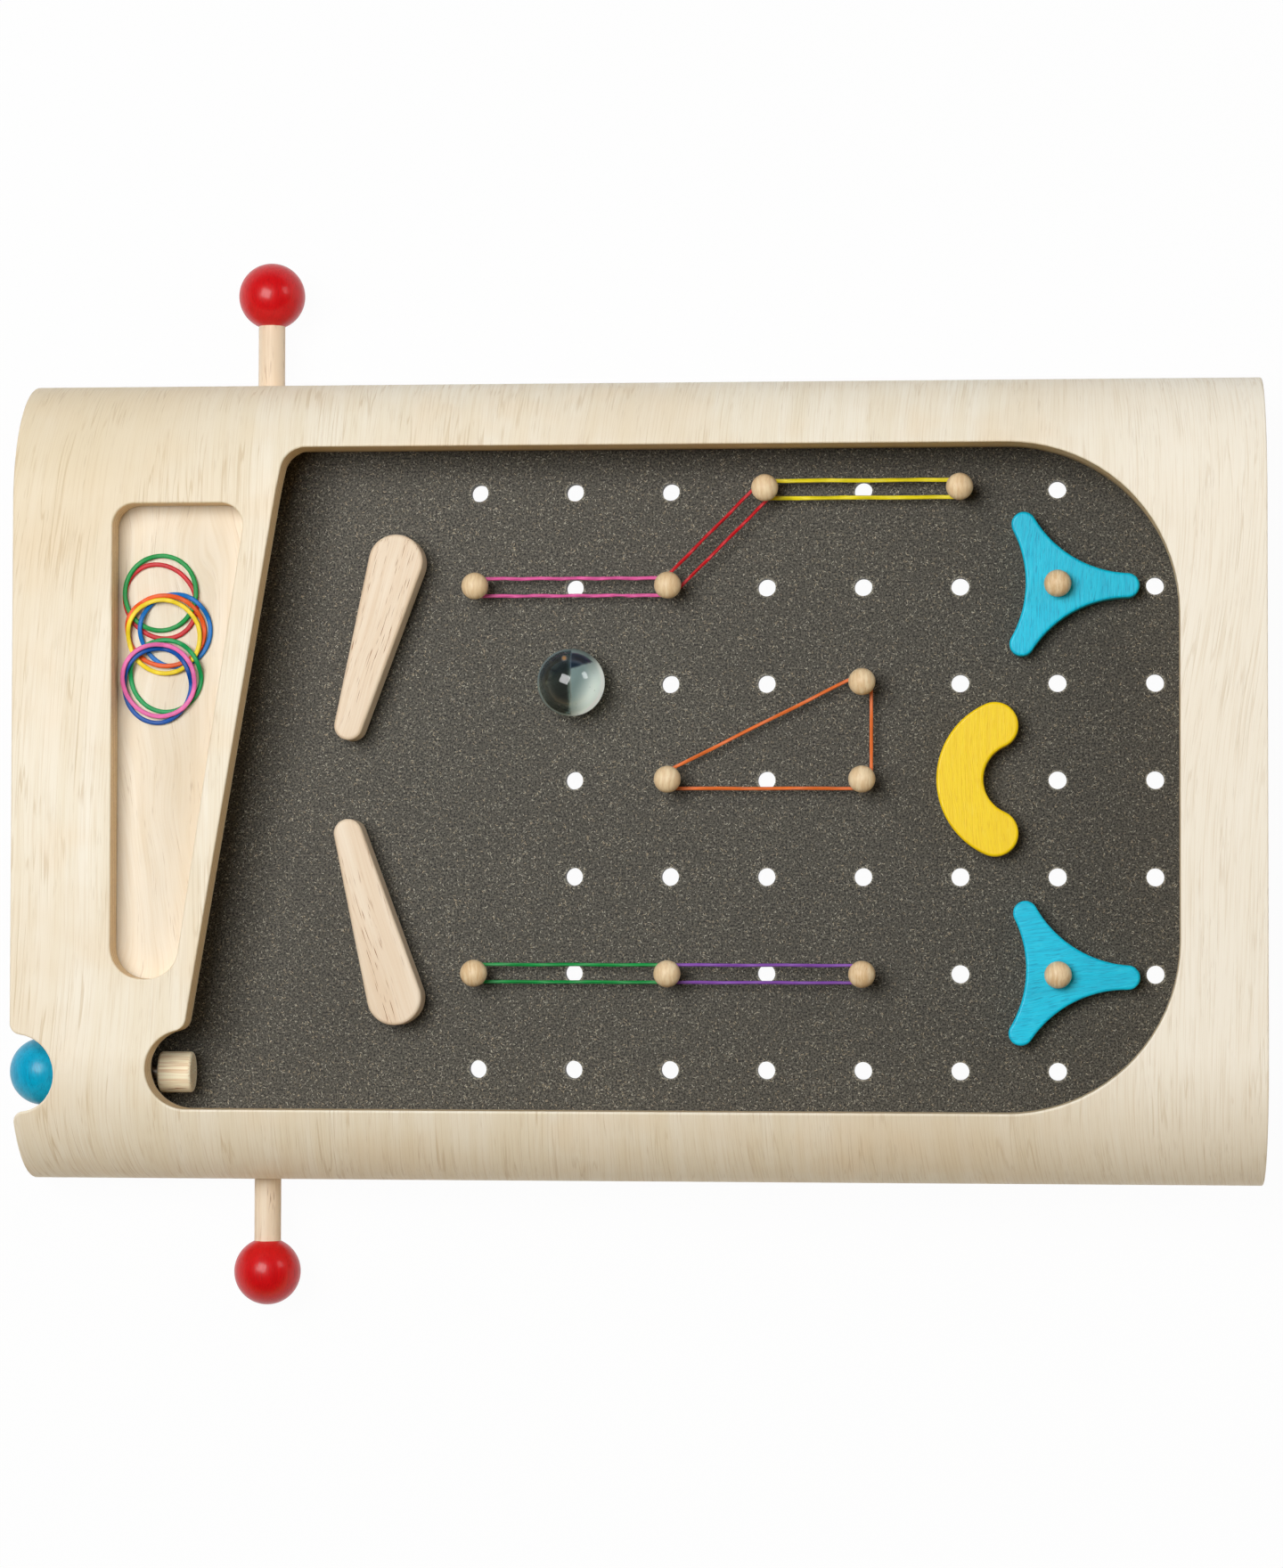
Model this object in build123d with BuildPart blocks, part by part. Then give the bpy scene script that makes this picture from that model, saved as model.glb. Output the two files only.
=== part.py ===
"""Tabletop pinball game: a bent plywood shell over a sloping pegged playfield,
with two push-lever flippers, a sprung plunger, pegs, rubber bands and two spinners.

Board coordinates: u runs up the slope, v across it and h square to it. Their zero
point is the middle of the grid of peg holes, on the top face of the playfield."""
import os
from math import atan2, cos, degrees, hypot, pi, radians, sin, sqrt, tan

from build123d import *

os.makedirs("parts", exist_ok=True)

# Grid of peg holes, in millimetres, which the body's length and width are worked out from
peg_pitch = 43.0
grid_columns = 8
grid_rows = 7
first_column_rows = (0, 1, 5, 6)
last_column_rows = (1, 2, 3, 4, 5)
peg_hole_radius = 4.0

# Body
slope = 5.5  # degrees
front_zone = 202.0  # from the first column of holes to the shell's front edge
front_height = 75.0
ply = 15.0
bend_radius = 57.0
deck_height = 46.0  # top of the shell above the playfield
rim_rounding = 0.8
glue_gap = 0.3

# Opening over the playfield
grid_side_margin = 17.0  # from the opening's side edge to the nearest row of holes
grid_back_margin = 9.5
side_border = 33.0
back_border = 37.5
opening_back_corner = 75.0
opening_front_corner = 11.0
slant_set_back = 96.2  # from the front edge to where the slanted edge crosses the middle line
slant_angle = 9.5
bay_set_back = 77.7
bay_radius = 17.5
bay_shoulder = 6.0

# Tray for the loose bands
front_band = 44.5
tray_rib = 10.0  # between the tray and the opening, on the middle line
tray_left_margin = 25.0
tray_right_margin = 57.3
tray_slant_angle = 8.5
tray_left_corner = 10.0
tray_end_rounding = 0.4925  # radius of the right corners, as a share of the tray's length there
tray_floor_thickness = 5.0
tray_floor_margin = 16.0

# Notch for the plunger's knob
notch_radius = 17.2
notch_depth = 19.3
notch_shoulder = 5.0

# Playfield, the rails that keep the marble on it, and the frame below
playfield_thickness = 8.0
rail_set_back = 2.0
slant_rail_set_back = 7.0
slant_rail_width = 12.0
back_rail_width = 22.0
front_wall_set_back = 26.5
front_wall_thickness = 10.0
front_wall_clearance = 3.0  # above the floor
ledge_width = 14.0
ledge_height = 12.0
ledge_rod_gap = 26.0  # from a push rod's axis to the ledge behind it

# Flippers, on axles through the playfield
axle_lead = 35.5  # from the first column of holes forward to the axles
axle_inset = 49.0  # from the opening's side edge
axle_radius = 4.0
axle_clearance = 0.08
flipper_length = 76.0  # between the centres of its two round ends
flipper_wide_radius = 12.2
flipper_tip_radius = 6.4
flipper_thickness = 16.0
flipper_droop = 16.0  # from square across the board, towards the front, at rest
flipper_rounding = 1.6
axle_depth_in_flipper = 11.0
washer_thickness = 1.0
washer_radius = 9.0
washer_play = 0.1

# Push levers below the playfield
rod_radius = 6.0
rod_lead = 22.0  # from the crank's pin forward to the rod's axis
rod_depth = 18.0  # axis below the playfield's top face
rod_clearance = 0.08
rod_hole_chamfer = 1.0
rod_hole_taper = 45.0
lever_ball_radius = 15.0
lever_ball_stand_off = 42.0  # from the shell's side to the ball's middle, at rest
ball_socket_depth = 12.0
lever_travel = 20.0
collar_radius = 9.0
collar_length = 8.0
collar_gap = 0.8
guide_inset = 39.0  # from the shell's inner face to the rod's guide block
guide_thickness = 10.0
guide_width = 24.0
guide_drop = 20.0

# Cranks between the levers and the flippers
crank_reach = 40.0
crank_thickness = 8.0
crank_hub_radius = 10.0
crank_tip_radius = 8.0
crank_gap = 6.0  # between the playfield and the crank
crank_pin_radius = 2.5
slot_play = 0.25
push_block_width = 20.0
push_block_thickness = 12.0
push_foot_thickness = 5.0
push_foot_gap = 2.0

# Plunger, in the bay at the right of the board
plunger_off_bay = 1.8  # how far the plunger's line lies outside the bay's middle
plunger_height = 15.0
knob_radius = 15.0
knob_set_back = 8.6
plunger_rod_radius = 3.0
plunger_rod_clearance = 0.08
knob_socket_depth = 8.0
striker_radius = 9.1
striker_gap = 1.3  # from the bay's front to the striker's front end
striker_length = 15.0
striker_rounding = 1.4
striker_socket_depth = 9.0
bush_radius = 5.0
bush_flange_radius = 7.0
bush_flange = 1.5
felt_radius = 9.0
felt_thickness = 2.5

# Coil springs
spring_wire = 1.0
return_spring_radius = 7.6
return_spring_turns = 6
plunger_spring_radius = 4.6
plunger_spring_turns = 7
spring_end_gap = 0.3

# Pegs with round heads, and the bands stretched between them
peg_head_radius = 6.0
peg_head_height = 16.0
peg_shank_radius = 3.9
peg_neck_radius = 3.0
peg_neck_start = 2.5
peg_shank_below = 2.0
band_thickness = 1.5
band_gap = 0.1
band_height = 6.2
second_band_height = 8.4
stretched_bands = {  # for each band its pegs, as columns and rows of the grid, and its height
    "band_pink": (((0, 1), (2, 1)), band_height),
    "band_red": (((2, 1), (3, 0)), second_band_height),
    "band_yellow": (((3, 0), (5, 0)), band_height),
    "band_orange": (((2, 3), (4, 2), (4, 3)), band_height),
    "band_green": (((0, 5), (2, 5)), band_height),
    "band_purple": (((2, 5), (4, 5)), second_band_height),
}

# Spinners and the crescent, which turn on pegs
spinner_column = 6
spinner_rows = (1, 5)
spinner_turns = (-1.0, -2.2)  # degrees from straight up the slope, at rest
spinner_arms = 3
spinner_reach = 36.0
spinner_tip_radius = 5.4
spinner_waist = 14.0
spinner_thickness = 10.0
spinner_lift = 1.0
spinner_rounding = 1.2
spinner_play = 0.2
crescent_column = 5
crescent_row = 3
crescent_bend_radius = 26.0
crescent_half_angle = 66.0
crescent_width = 20.7
crescent_thickness = 12.0
crescent_socket_depth = 9.0

# Marble and the loose bands in the tray
marble_radius = 15.0
marble_column = 1
marble_row = 2
marble_lift = 0.05
loose_ring_radius = 16.2  # to the middle of the rubber
loose_width = 2.0
loose_thickness = 1.2
loose_gap = 0.12
loose_bands = {  # distance from the tray's front and left edges, in order from the lowest
    "loose_red": (19.0, 42.4),
    "loose_green": (19.3, 38.7),
    "loose_blue": (25.9, 55.5),
    "loose_orange": (21.8, 55.6),
    "loose_yellow": (21.4, 58.3),
    "loose_light_green": (22.4, 75.8),
    "loose_dark_blue": (18.9, 80.1),
    "loose_pink": (20.2, 77.8),
}
touch = 0.01  # how near two places count as one

# Values worked out from the sizes above
slope_cos = cos(radians(slope))
slope_sin = sin(radians(slope))
lane_height = deck_height - ply
grid_half_length = (grid_columns - 1) / 2 * peg_pitch
grid_half_width = (grid_rows - 1) / 2 * peg_pitch
opening_half_width = grid_half_width + grid_side_margin
opening_back = grid_half_length + grid_back_margin
body_width = 2 * (opening_half_width + side_border)
front_reach = grid_half_length + front_zone
back_reach = opening_back + back_border
board_z = front_height + front_reach * slope_sin - deck_height * slope_cos
back_foot_x = (back_reach + board_z * slope_sin) / slope_cos  # at the floor, from the board's zero point
knob_place = knob_set_back - front_reach
knob_x_on_board = knob_place * slope_cos - plunger_height * slope_sin - knob_radius
board_x = -(back_foot_x + knob_x_on_board) / 2
board = Plane(
    origin=(board_x, 0, board_z),
    x_dir=(slope_cos, 0, slope_sin),
    z_dir=(-slope_sin, 0, slope_cos),
)
bend_middle = body_width / 2 - bend_radius
bend_middle_height = deck_height - bend_radius
inner_half_width = body_width / 2 - ply
inner_bend_radius = bend_radius - ply
board_half_width = (
    bend_middle + sqrt(inner_bend_radius**2 - bend_middle_height**2) - glue_gap
)
slant_middle = front_reach - slant_set_back
bay_u = bay_set_back - front_reach
bay_v = bay_radius - opening_half_width
tray_front = front_reach - front_band
tray_left = opening_half_width - tray_left_margin
tray_right = opening_half_width - tray_right_margin
tray_slant_middle = slant_middle + tray_rib
tray_end = tray_front - tray_slant_middle - tray_right * tan(radians(tray_slant_angle))
front_wall_front = front_reach - front_wall_set_back
front_wall_back = front_wall_front - front_wall_thickness
axle_place = (-grid_half_length - axle_lead, opening_half_width - axle_inset)
pin_place = (axle_place[0] - crank_reach, axle_place[1] + lever_travel / 2)
rod_place = pin_place[0] - rod_lead
ledge_front = rod_place + ledge_rod_gap
plunger_side = bay_v - plunger_off_bay
striker_front = bay_u - bay_radius + striker_gap
shell_run = front_reach + back_reach
leg_length = (front_height + shell_run * slope_sin) / slope_cos + ply  # cut off at the floor
crank_swing = degrees(atan2(lever_travel / 2, crank_reach))
crank_top = -playfield_thickness - crank_gap
sides = {"left": 1, "right": -1}


def level(height):
    """Plane parallel to the playfield, at a height above it."""
    return board.offset(height)


def facing_back(u, v, h):
    """Plane square to the slope at a board point, with x across and y away from the board."""
    return Plane(
        origin=board.from_local_coords((u, v, h)), x_dir=board.y_dir, z_dir=board.x_dir
    )


def facing_side(u, v, h):
    """Plane square across the board at a board point, its normal towards plus v."""
    return Plane(
        origin=board.from_local_coords((u, v, h)), x_dir=board.x_dir, z_dir=board.y_dir
    )


def hole_place(column, row):
    """Board position of a peg hole. Columns count up the slope, rows across from the left."""
    return (column * peg_pitch - grid_half_length, grid_half_width - row * peg_pitch)


def shell_section(inset):
    """The bent outline across the body, inside its outer face by inset."""
    with BuildSketch(facing_back(-front_reach, 0, deck_height)) as section:
        with Locations((0, -inset)):
            Rectangle(body_width - 2 * inset, leg_length, align=(Align.CENTER, Align.MAX))
        fillet(section.vertices().group_by(Axis.Y)[-1], bend_radius - inset)
    return section.sketch


def under_shell():
    """The room inside the shell, less the glue gap, that the wooden insides are cut to."""
    return shell_section(ply + glue_gap)


def slant_at(v, middle, angle):
    """How far up the slope a slanted edge lies at the side position v."""
    return -middle + v * tan(radians(angle))


def opening_outline():
    """Outline of the opening over the playfield, with the bay in front of the plunger."""
    left = opening_half_width
    with BuildSketch() as outline:
        with BuildLine():
            Polyline(
                (slant_at(left, slant_middle, slant_angle), left),
                (opening_back, left),
                (opening_back, -left),
                (bay_u, -left),
                (slant_at(bay_v, slant_middle, slant_angle), bay_v),
                close=True,
            )
        make_face()
        corners = outline.vertices().sort_by(Axis.X)
        fillet(corners[-2:], opening_back_corner)
        fillet(outline.vertices().sort_by(Axis.Y)[-2:].sort_by(Axis.X)[0], opening_front_corner)
        with Locations((bay_u, bay_v)):
            Circle(bay_radius)
        shoulder = (slant_at(bay_v + bay_radius, slant_middle, slant_angle), bay_v + bay_radius)
        fillet(outline.vertices().sort_by_distance((*shoulder, 0))[0], bay_shoulder)
    return outline.sketch


def tray_outline():
    """Outline of the tray for the loose bands."""
    with BuildSketch() as outline:
        with BuildLine():
            Polyline(
                (-tray_front, tray_left),
                (slant_at(tray_left, tray_slant_middle, tray_slant_angle), tray_left),
                (slant_at(-tray_right, tray_slant_middle, tray_slant_angle), -tray_right),
                (-tray_front, -tray_right),
                close=True,
            )
        make_face()
        fillet(outline.vertices().group_by(Axis.Y)[-1], tray_left_corner)
        fillet(outline.vertices().group_by(Axis.Y)[0], tray_end_rounding * tray_end)
    return outline.sketch


def notch_outline():
    """Half-round notch in the front edge that leaves room to grip the plunger's knob."""
    middle = -front_reach + notch_depth - notch_radius
    lip = 2 * notch_shoulder
    with BuildSketch() as outline:
        with Locations((middle, plunger_side)):
            Circle(notch_radius)
        with Locations((-front_reach - lip / 2, plunger_side)):
            Rectangle(lip, 2 * (notch_radius + lip))
        fillet(outline.vertices().group_by(Axis.X)[-1], notch_shoulder)
    return outline.sketch


def placed(outline, height):
    """An outline drawn in board coordinates, moved onto the board at a height."""
    return level(height).location * outline


def finish(builder, name):
    """Label a finished piece and write its file."""
    builder.part.label = name
    export_step(builder.part, f"parts/{name}.step")


def on_bent_top(edge):
    """Whether an edge lies on the outer face of the top or bends, but isn't a seam of them."""
    place = board.to_local_coords(edge @ 0.5)
    past_flat = max(abs(place.Y) - bend_middle, 0)
    if past_flat > bend_radius - touch or abs(abs(place.Y) - bend_middle) < touch:
        return False
    top = bend_middle_height + sqrt(bend_radius**2 - past_flat**2)
    return abs(place.Z - top) < touch


# Shell, bent from one sheet, with its opening, tray and notch cut square to the board
rod_hole_radius = rod_radius + rod_clearance
with BuildPart() as shell:
    extrude(shell_section(0), amount=shell_run)
    extrude(shell_section(ply), amount=shell_run, mode=Mode.SUBTRACT)
    split(bisect_by=Plane.XY, keep=Keep.TOP)
    for outline in (opening_outline(), tray_outline(), notch_outline()):
        extrude(placed(outline, deck_height), amount=-deck_height, mode=Mode.SUBTRACT)
    fillet(shell.edges().filter_by(on_bent_top), rim_rounding)
    for side in sides.values():
        outside = facing_side(rod_place, side * body_width / 2, -rod_depth)
        rod_hole = -outside if side > 0 else outside
        with BuildSketch(rod_hole):
            Circle(rod_hole_radius)
        extrude(amount=ply + glue_gap, mode=Mode.SUBTRACT)
        with BuildSketch(rod_hole):
            Circle(rod_hole_radius + rod_hole_chamfer)
        extrude(amount=rod_hole_chamfer, taper=rod_hole_taper, mode=Mode.SUBTRACT)
finish(shell, "shell")

# Playfield board, drilled for the pegs and the two flipper axles
with BuildPart() as playfield:
    with BuildSketch(level(0)):
        front = -front_wall_back
        back = opening_back + back_rail_width
        with Locations(((front + back) / 2, 0)):
            Rectangle(back - front, 2 * board_half_width)
        for column in range(grid_columns):
            rows = range(grid_rows)
            if column == 0:
                rows = first_column_rows
            if column == grid_columns - 1:
                rows = last_column_rows
            with Locations([hole_place(column, row) for row in rows]):
                Circle(peg_hole_radius, mode=Mode.SUBTRACT)
        for side in sides.values():
            with Locations((axle_place[0], side * axle_place[1])):
                Circle(axle_radius + axle_clearance, mode=Mode.SUBTRACT)
    extrude(amount=-playfield_thickness)
finish(playfield, "playfield")

# Side rails, from the front wall to where the back rail's corners start
rail_face = opening_half_width + rail_set_back
corner_start = opening_back - opening_back_corner
for name, side in sides.items():
    with BuildPart() as side_rail:
        with BuildSketch(level(0)):
            low = -front_wall_back
            with Locations(((low + corner_start) / 2, side * (rail_face + board_half_width) / 2)):
                Rectangle(corner_start - low, board_half_width - rail_face)
        extrude(amount=lane_height)
        extrude(under_shell(), amount=shell_run, mode=Mode.INTERSECT)
    finish(side_rail, f"side_rail_{name}")

# Back rail, with the two large round corners that turn the marble round
with BuildSketch() as room_between_rails:
    with Locations((opening_back + rail_set_back, 0)):
        Rectangle(shell_run, 2 * rail_face, align=(Align.MAX, Align.CENTER))
    fillet(room_between_rails.vertices().group_by(Axis.X)[-1], opening_back_corner + rail_set_back)

with BuildPart() as back_rail:
    with BuildSketch(level(0)):
        back = opening_back + back_rail_width
        with Locations(((corner_start + back) / 2, 0)):
            Rectangle(back - corner_start, 2 * board_half_width)
        add(room_between_rails.sketch, mode=Mode.SUBTRACT)
    extrude(amount=lane_height)
    extrude(under_shell(), amount=shell_run, mode=Mode.INTERSECT)
finish(back_rail, "back_rail")

# Front wall, which carries the plunger
floor_at_wall = -(board_z - front_wall_front * slope_sin) / slope_cos
with BuildPart() as front_wall:
    wall_bottom = floor_at_wall + front_wall_clearance
    with BuildSketch(facing_back(-front_wall_front, 0, 0)):
        with Locations((0, wall_bottom)):
            Rectangle(
                2 * (inner_half_width - glue_gap),
                lane_height - wall_bottom,
                align=(Align.CENTER, Align.MIN),
            )
    extrude(amount=front_wall_thickness)
    extrude(under_shell(), amount=shell_run, mode=Mode.INTERSECT)
    with BuildSketch(facing_back(-front_wall_front, plunger_side, plunger_height)):
        Circle(bush_radius)
    extrude(amount=front_wall_thickness, mode=Mode.SUBTRACT)
finish(front_wall, "front_wall")

# Slanted rail under the opening's front edge, which leads the marble to the plunger
slant_rail_face = slant_middle + slant_rail_set_back
slant_rail_end = bay_v + bay_radius + slant_rail_width / 2
with BuildPart() as drain_rail:
    with BuildSketch(level(0)):
        low = (slant_at(slant_rail_end, slant_rail_face, slant_angle), slant_rail_end)
        high = (slant_at(rail_face, slant_rail_face, slant_angle), rail_face)
        shift = slant_rail_width / cos(radians(slant_angle))
        with BuildLine():
            Polyline(low, high, (high[0] - shift, high[1]), (low[0] - shift, low[1]), close=True)
        make_face()
        with Locations((low[0] - shift / 2, low[1])):
            Circle(slant_rail_width / 2)
    extrude(amount=lane_height - tray_floor_thickness)
    extrude(under_shell(), amount=shell_run, mode=Mode.INTERSECT)
finish(drain_rail, "drain_rail")

# Tray floor, glued under the shell
with BuildPart() as tray_floor:
    with BuildSketch(level(lane_height)):
        low = -tray_right - tray_floor_margin
        with BuildLine():
            Polyline(
                (slant_at(low, slant_rail_face, slant_angle), low),
                (slant_at(rail_face, slant_rail_face, slant_angle), rail_face),
                (-front_wall_back, rail_face),
                (-front_wall_back, low),
                close=True,
            )
        make_face()
    extrude(amount=-tray_floor_thickness)
    extrude(under_shell(), amount=shell_run, mode=Mode.INTERSECT)
finish(tray_floor, "tray_floor")

# Ledges along the shell's sides and a batten behind the front wall carry the playfield
for name, side in sides.items():
    with BuildPart() as ledge:
        with BuildSketch(level(-playfield_thickness)):
            back = opening_back + back_rail_width
            middle = inner_half_width - glue_gap - ledge_width / 2
            with Locations(((ledge_front + back) / 2, side * middle)):
                Rectangle(back - ledge_front, ledge_width)
        extrude(amount=-ledge_height)
        extrude(under_shell(), amount=shell_run, mode=Mode.INTERSECT)
    finish(ledge, f"ledge_{name}")

with BuildPart() as front_batten:
    with BuildSketch(level(-playfield_thickness)):
        with Locations((-front_wall_back + ledge_width / 2, 0)):
            Rectangle(ledge_width, 2 * (inner_half_width - glue_gap))
    extrude(amount=-ledge_height)
    extrude(under_shell(), amount=shell_run, mode=Mode.INTERSECT)
finish(front_batten, "front_batten")


def spring_path(start, length, radius, turns):
    """Points and directions, four to a turn, along a coil on the plane start."""
    count = 4 * turns
    rise = length / count
    step = pi / 2
    speed = hypot(radius * step, rise)
    points = []
    directions = []
    for index in range(count + 1):
        angle = index * step
        points.append(start.from_local_coords((radius * cos(angle), radius * sin(angle), index * rise)))
        heading = Vector(-radius * step * sin(angle), radius * step * cos(angle), rise) / speed
        directions.append(start.from_local_coords(heading) - start.origin)
    return points, directions


def coil_spring(name, start, length, radius, turns):
    """A round-wire spring: one tube swept on pairs of arcs, a pair to each quarter turn."""
    run = length - spring_wire
    base = start.offset(spring_wire / 2)
    points, directions = spring_path(base, run, radius, turns)
    with BuildPart() as spring:
        with BuildLine() as path:
            for index in range(len(points) - 1):
                near = points[index]
                far = points[index + 1]
                out = directions[index]
                into = directions[index + 1]
                gap = far - near
                both = out + into
                spread = 2 * (1 - out.dot(into))
                reach = (sqrt(gap.dot(both) ** 2 + 2 * spread * gap.dot(gap)) - gap.dot(both)) / (2 * spread)
                middle = (near + out * reach + far - into * reach) / 2
                TangentArc(near, middle, tangent=out)
                TangentArc(middle, far, tangent=far - into * reach - (near + out * reach))
        with BuildSketch(Plane(origin=points[0], z_dir=directions[0])):
            Circle(spring_wire / 2)
        sweep(path=path.wires()[0])
    print(f"{name}: least gap between turns {run / turns - spring_wire:.2f} mm")
    finish(spring, name)


# Levers: rod, ball, collar, return spring, guide and the block that drives the crank
collar_outer = inner_half_width - collar_gap
collar_inner = collar_outer - collar_length
guide_place = inner_half_width - guide_inset
lever_ball_place = body_width / 2 + lever_ball_stand_off
rod_end = pin_place[1] - push_block_thickness / 2
block_foot_top = crank_top - crank_thickness - push_foot_gap
block_bottom = block_foot_top - push_foot_thickness
for name, side in sides.items():
    across = facing_side(rod_place, 0, -rod_depth)

    with BuildPart() as push_rod:
        with BuildSketch(across.offset(side * rod_end)):
            Circle(rod_radius)
        extrude(amount=side * (lever_ball_place - lever_ball_radius + ball_socket_depth - rod_end))
        chamfer(push_rod.edges().filter_by(GeomType.CIRCLE), rod_hole_chamfer)
    finish(push_rod, f"push_rod_{name}")

    with BuildPart() as lever_ball:
        with Locations(across.offset(side * lever_ball_place)):
            Sphere(lever_ball_radius)
        add(push_rod.part, mode=Mode.SUBTRACT)
    finish(lever_ball, f"lever_ball_{name}")

    with BuildPart() as stop_collar:
        with BuildSketch(across.offset(side * collar_inner)):
            Circle(collar_radius)
            Circle(rod_radius, mode=Mode.SUBTRACT)
        extrude(amount=side * collar_length)
    finish(stop_collar, f"stop_collar_{name}")

    with BuildPart() as rod_guide:
        with BuildSketch(across.offset(side * guide_place)):
            with BuildLine():
                half = guide_width / 2
                top = -(rod_depth - playfield_thickness)
                Polyline(
                    (-half, top),
                    (half, top),
                    (half, top + guide_drop),
                    (-half, top + guide_drop),
                    close=True,
                )
            make_face()
            Circle(rod_radius + rod_clearance, mode=Mode.SUBTRACT)
        extrude(amount=-side * guide_thickness)
    finish(rod_guide, f"rod_guide_{name}")

    spring_length = collar_inner - guide_place - 2 * spring_end_gap
    spring_start = guide_place + spring_end_gap
    if side < 0:
        spring_start = -(guide_place + spring_end_gap + spring_length)
    coil_spring(
        f"return_spring_{name}",
        facing_side(rod_place, spring_start, -rod_depth),
        spring_length,
        return_spring_radius,
        return_spring_turns,
    )

    with BuildPart() as push_block:
        with BuildSketch(across.offset(side * rod_end)):
            foot_end = pin_place[0] - rod_place + 2 * crank_pin_radius
            drop = -rod_depth - block_bottom
            head = rod_depth + crank_top
            with BuildLine():
                Polyline(
                    (-push_block_width / 2, -head),
                    (push_block_width / 2, -head),
                    (push_block_width / 2, drop - push_foot_thickness),
                    (foot_end, drop - push_foot_thickness),
                    (foot_end, drop),
                    (-push_block_width / 2, drop),
                    close=True,
                )
            make_face()
        extrude(amount=side * push_block_thickness)
        add(push_rod.part, mode=Mode.SUBTRACT)
        with BuildSketch(level(block_bottom)):
            with Locations((pin_place[0], side * pin_place[1])):
                Circle(crank_pin_radius)
        extrude(amount=push_foot_thickness, mode=Mode.SUBTRACT)
    finish(push_block, f"push_block_{name}")

    with BuildPart() as crank_pin:
        with BuildSketch(level(block_bottom)):
            with Locations((pin_place[0], side * pin_place[1])):
                Circle(crank_pin_radius)
        extrude(amount=crank_top - block_bottom)
    finish(crank_pin, f"crank_pin_{name}")

    with BuildPart() as crank_arm:
        swing = 180 - side * crank_swing
        rest = level(crank_top).location * Location((axle_place[0], side * axle_place[1], 0), (0, 0, swing))
        longest = crank_reach / cos(radians(crank_swing))
        with BuildSketch(Plane(rest)):
            Circle(crank_hub_radius)
            with Locations((longest, 0)):
                Circle(crank_tip_radius)
            make_hull()
            Circle(axle_radius, mode=Mode.SUBTRACT)
            with Locations(((crank_reach + longest) / 2, 0)):
                SlotCenterToCenter(
                    longest - crank_reach + 2 * slot_play,
                    2 * (crank_pin_radius + slot_play),
                    mode=Mode.SUBTRACT,
                )
        extrude(amount=-crank_thickness)
    finish(crank_arm, f"crank_arm_{name}")

    with BuildPart() as flipper:
        turned = -side * (90 + flipper_droop)
        rest = level(washer_thickness + washer_play).location * Location(
            (axle_place[0], side * axle_place[1], 0), (0, 0, turned)
        )
        with BuildSketch(Plane(rest)):
            Circle(flipper_wide_radius)
            with Locations((flipper_length, 0)):
                Circle(flipper_tip_radius)
            make_hull()
        extrude(amount=flipper_thickness)
        fillet(flipper.edges().filter_by(Plane(rest)), flipper_rounding)
        with BuildSketch(Plane(rest)):
            Circle(axle_radius)
        extrude(amount=axle_depth_in_flipper, mode=Mode.SUBTRACT)
    finish(flipper, f"flipper_{name}")

    with BuildPart() as flipper_axle:
        with BuildSketch(level(crank_top - crank_thickness)):
            with Locations((axle_place[0], side * axle_place[1])):
                Circle(axle_radius)
        top = washer_thickness + washer_play + axle_depth_in_flipper
        extrude(amount=top - crank_top + crank_thickness)
    finish(flipper_axle, f"flipper_axle_{name}")

# Washers under the flippers
with BuildPart() as flipper_washers:
    with BuildSketch(level(0)):
        for side in sides.values():
            with Locations((axle_place[0], side * axle_place[1])):
                Circle(washer_radius)
                Circle(axle_radius + axle_clearance, mode=Mode.SUBTRACT)
    extrude(amount=washer_thickness)
finish(flipper_washers, "flipper_washers")

# Plunger: knob, rod, striker and spring in a flanged bush
plunger_line = facing_back(0, plunger_side, plunger_height)
with BuildPart() as plunger_rod:
    start = knob_place + knob_radius - knob_socket_depth
    end = striker_front + striker_socket_depth
    with BuildSketch(plunger_line.offset(start)):
        Circle(plunger_rod_radius)
    extrude(amount=end - start)
finish(plunger_rod, "plunger_rod")

with BuildPart() as plunger_knob:
    with Locations(plunger_line.offset(knob_place)):
        Sphere(knob_radius)
    add(plunger_rod.part, mode=Mode.SUBTRACT)
finish(plunger_knob, "plunger_knob")

with BuildPart() as striker:
    with BuildSketch(plunger_line.offset(striker_front)):
        Circle(striker_radius)
    extrude(amount=striker_length)
    fillet(striker.edges().filter_by(GeomType.CIRCLE), striker_rounding)
    add(plunger_rod.part, mode=Mode.SUBTRACT)
finish(striker, "striker")

with BuildPart() as plunger_bush:
    with BuildSketch(plunger_line.offset(-front_wall_front)):
        Circle(bush_radius)
    extrude(amount=front_wall_thickness)
    with BuildSketch(plunger_line.offset(-front_wall_back)):
        Circle(bush_flange_radius)
    extrude(amount=bush_flange)
    with BuildSketch(plunger_line.offset(-front_wall_front)):
        Circle(plunger_rod_radius + plunger_rod_clearance)
    extrude(amount=front_wall_thickness + bush_flange, mode=Mode.SUBTRACT)
finish(plunger_bush, "plunger_bush")

with BuildPart() as felt_washer:
    with BuildSketch(plunger_line.offset(-front_wall_front)):
        Circle(felt_radius)
        Circle(plunger_rod_radius + 2 * plunger_rod_clearance, mode=Mode.SUBTRACT)
    extrude(amount=-felt_thickness)
finish(felt_washer, "felt_washer")

spring_from = -front_wall_back + bush_flange + spring_end_gap
coil_spring(
    "plunger_spring",
    plunger_line.offset(spring_from),
    striker_front - spring_end_gap - spring_from,
    plunger_spring_radius,
    plunger_spring_turns,
)


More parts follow.
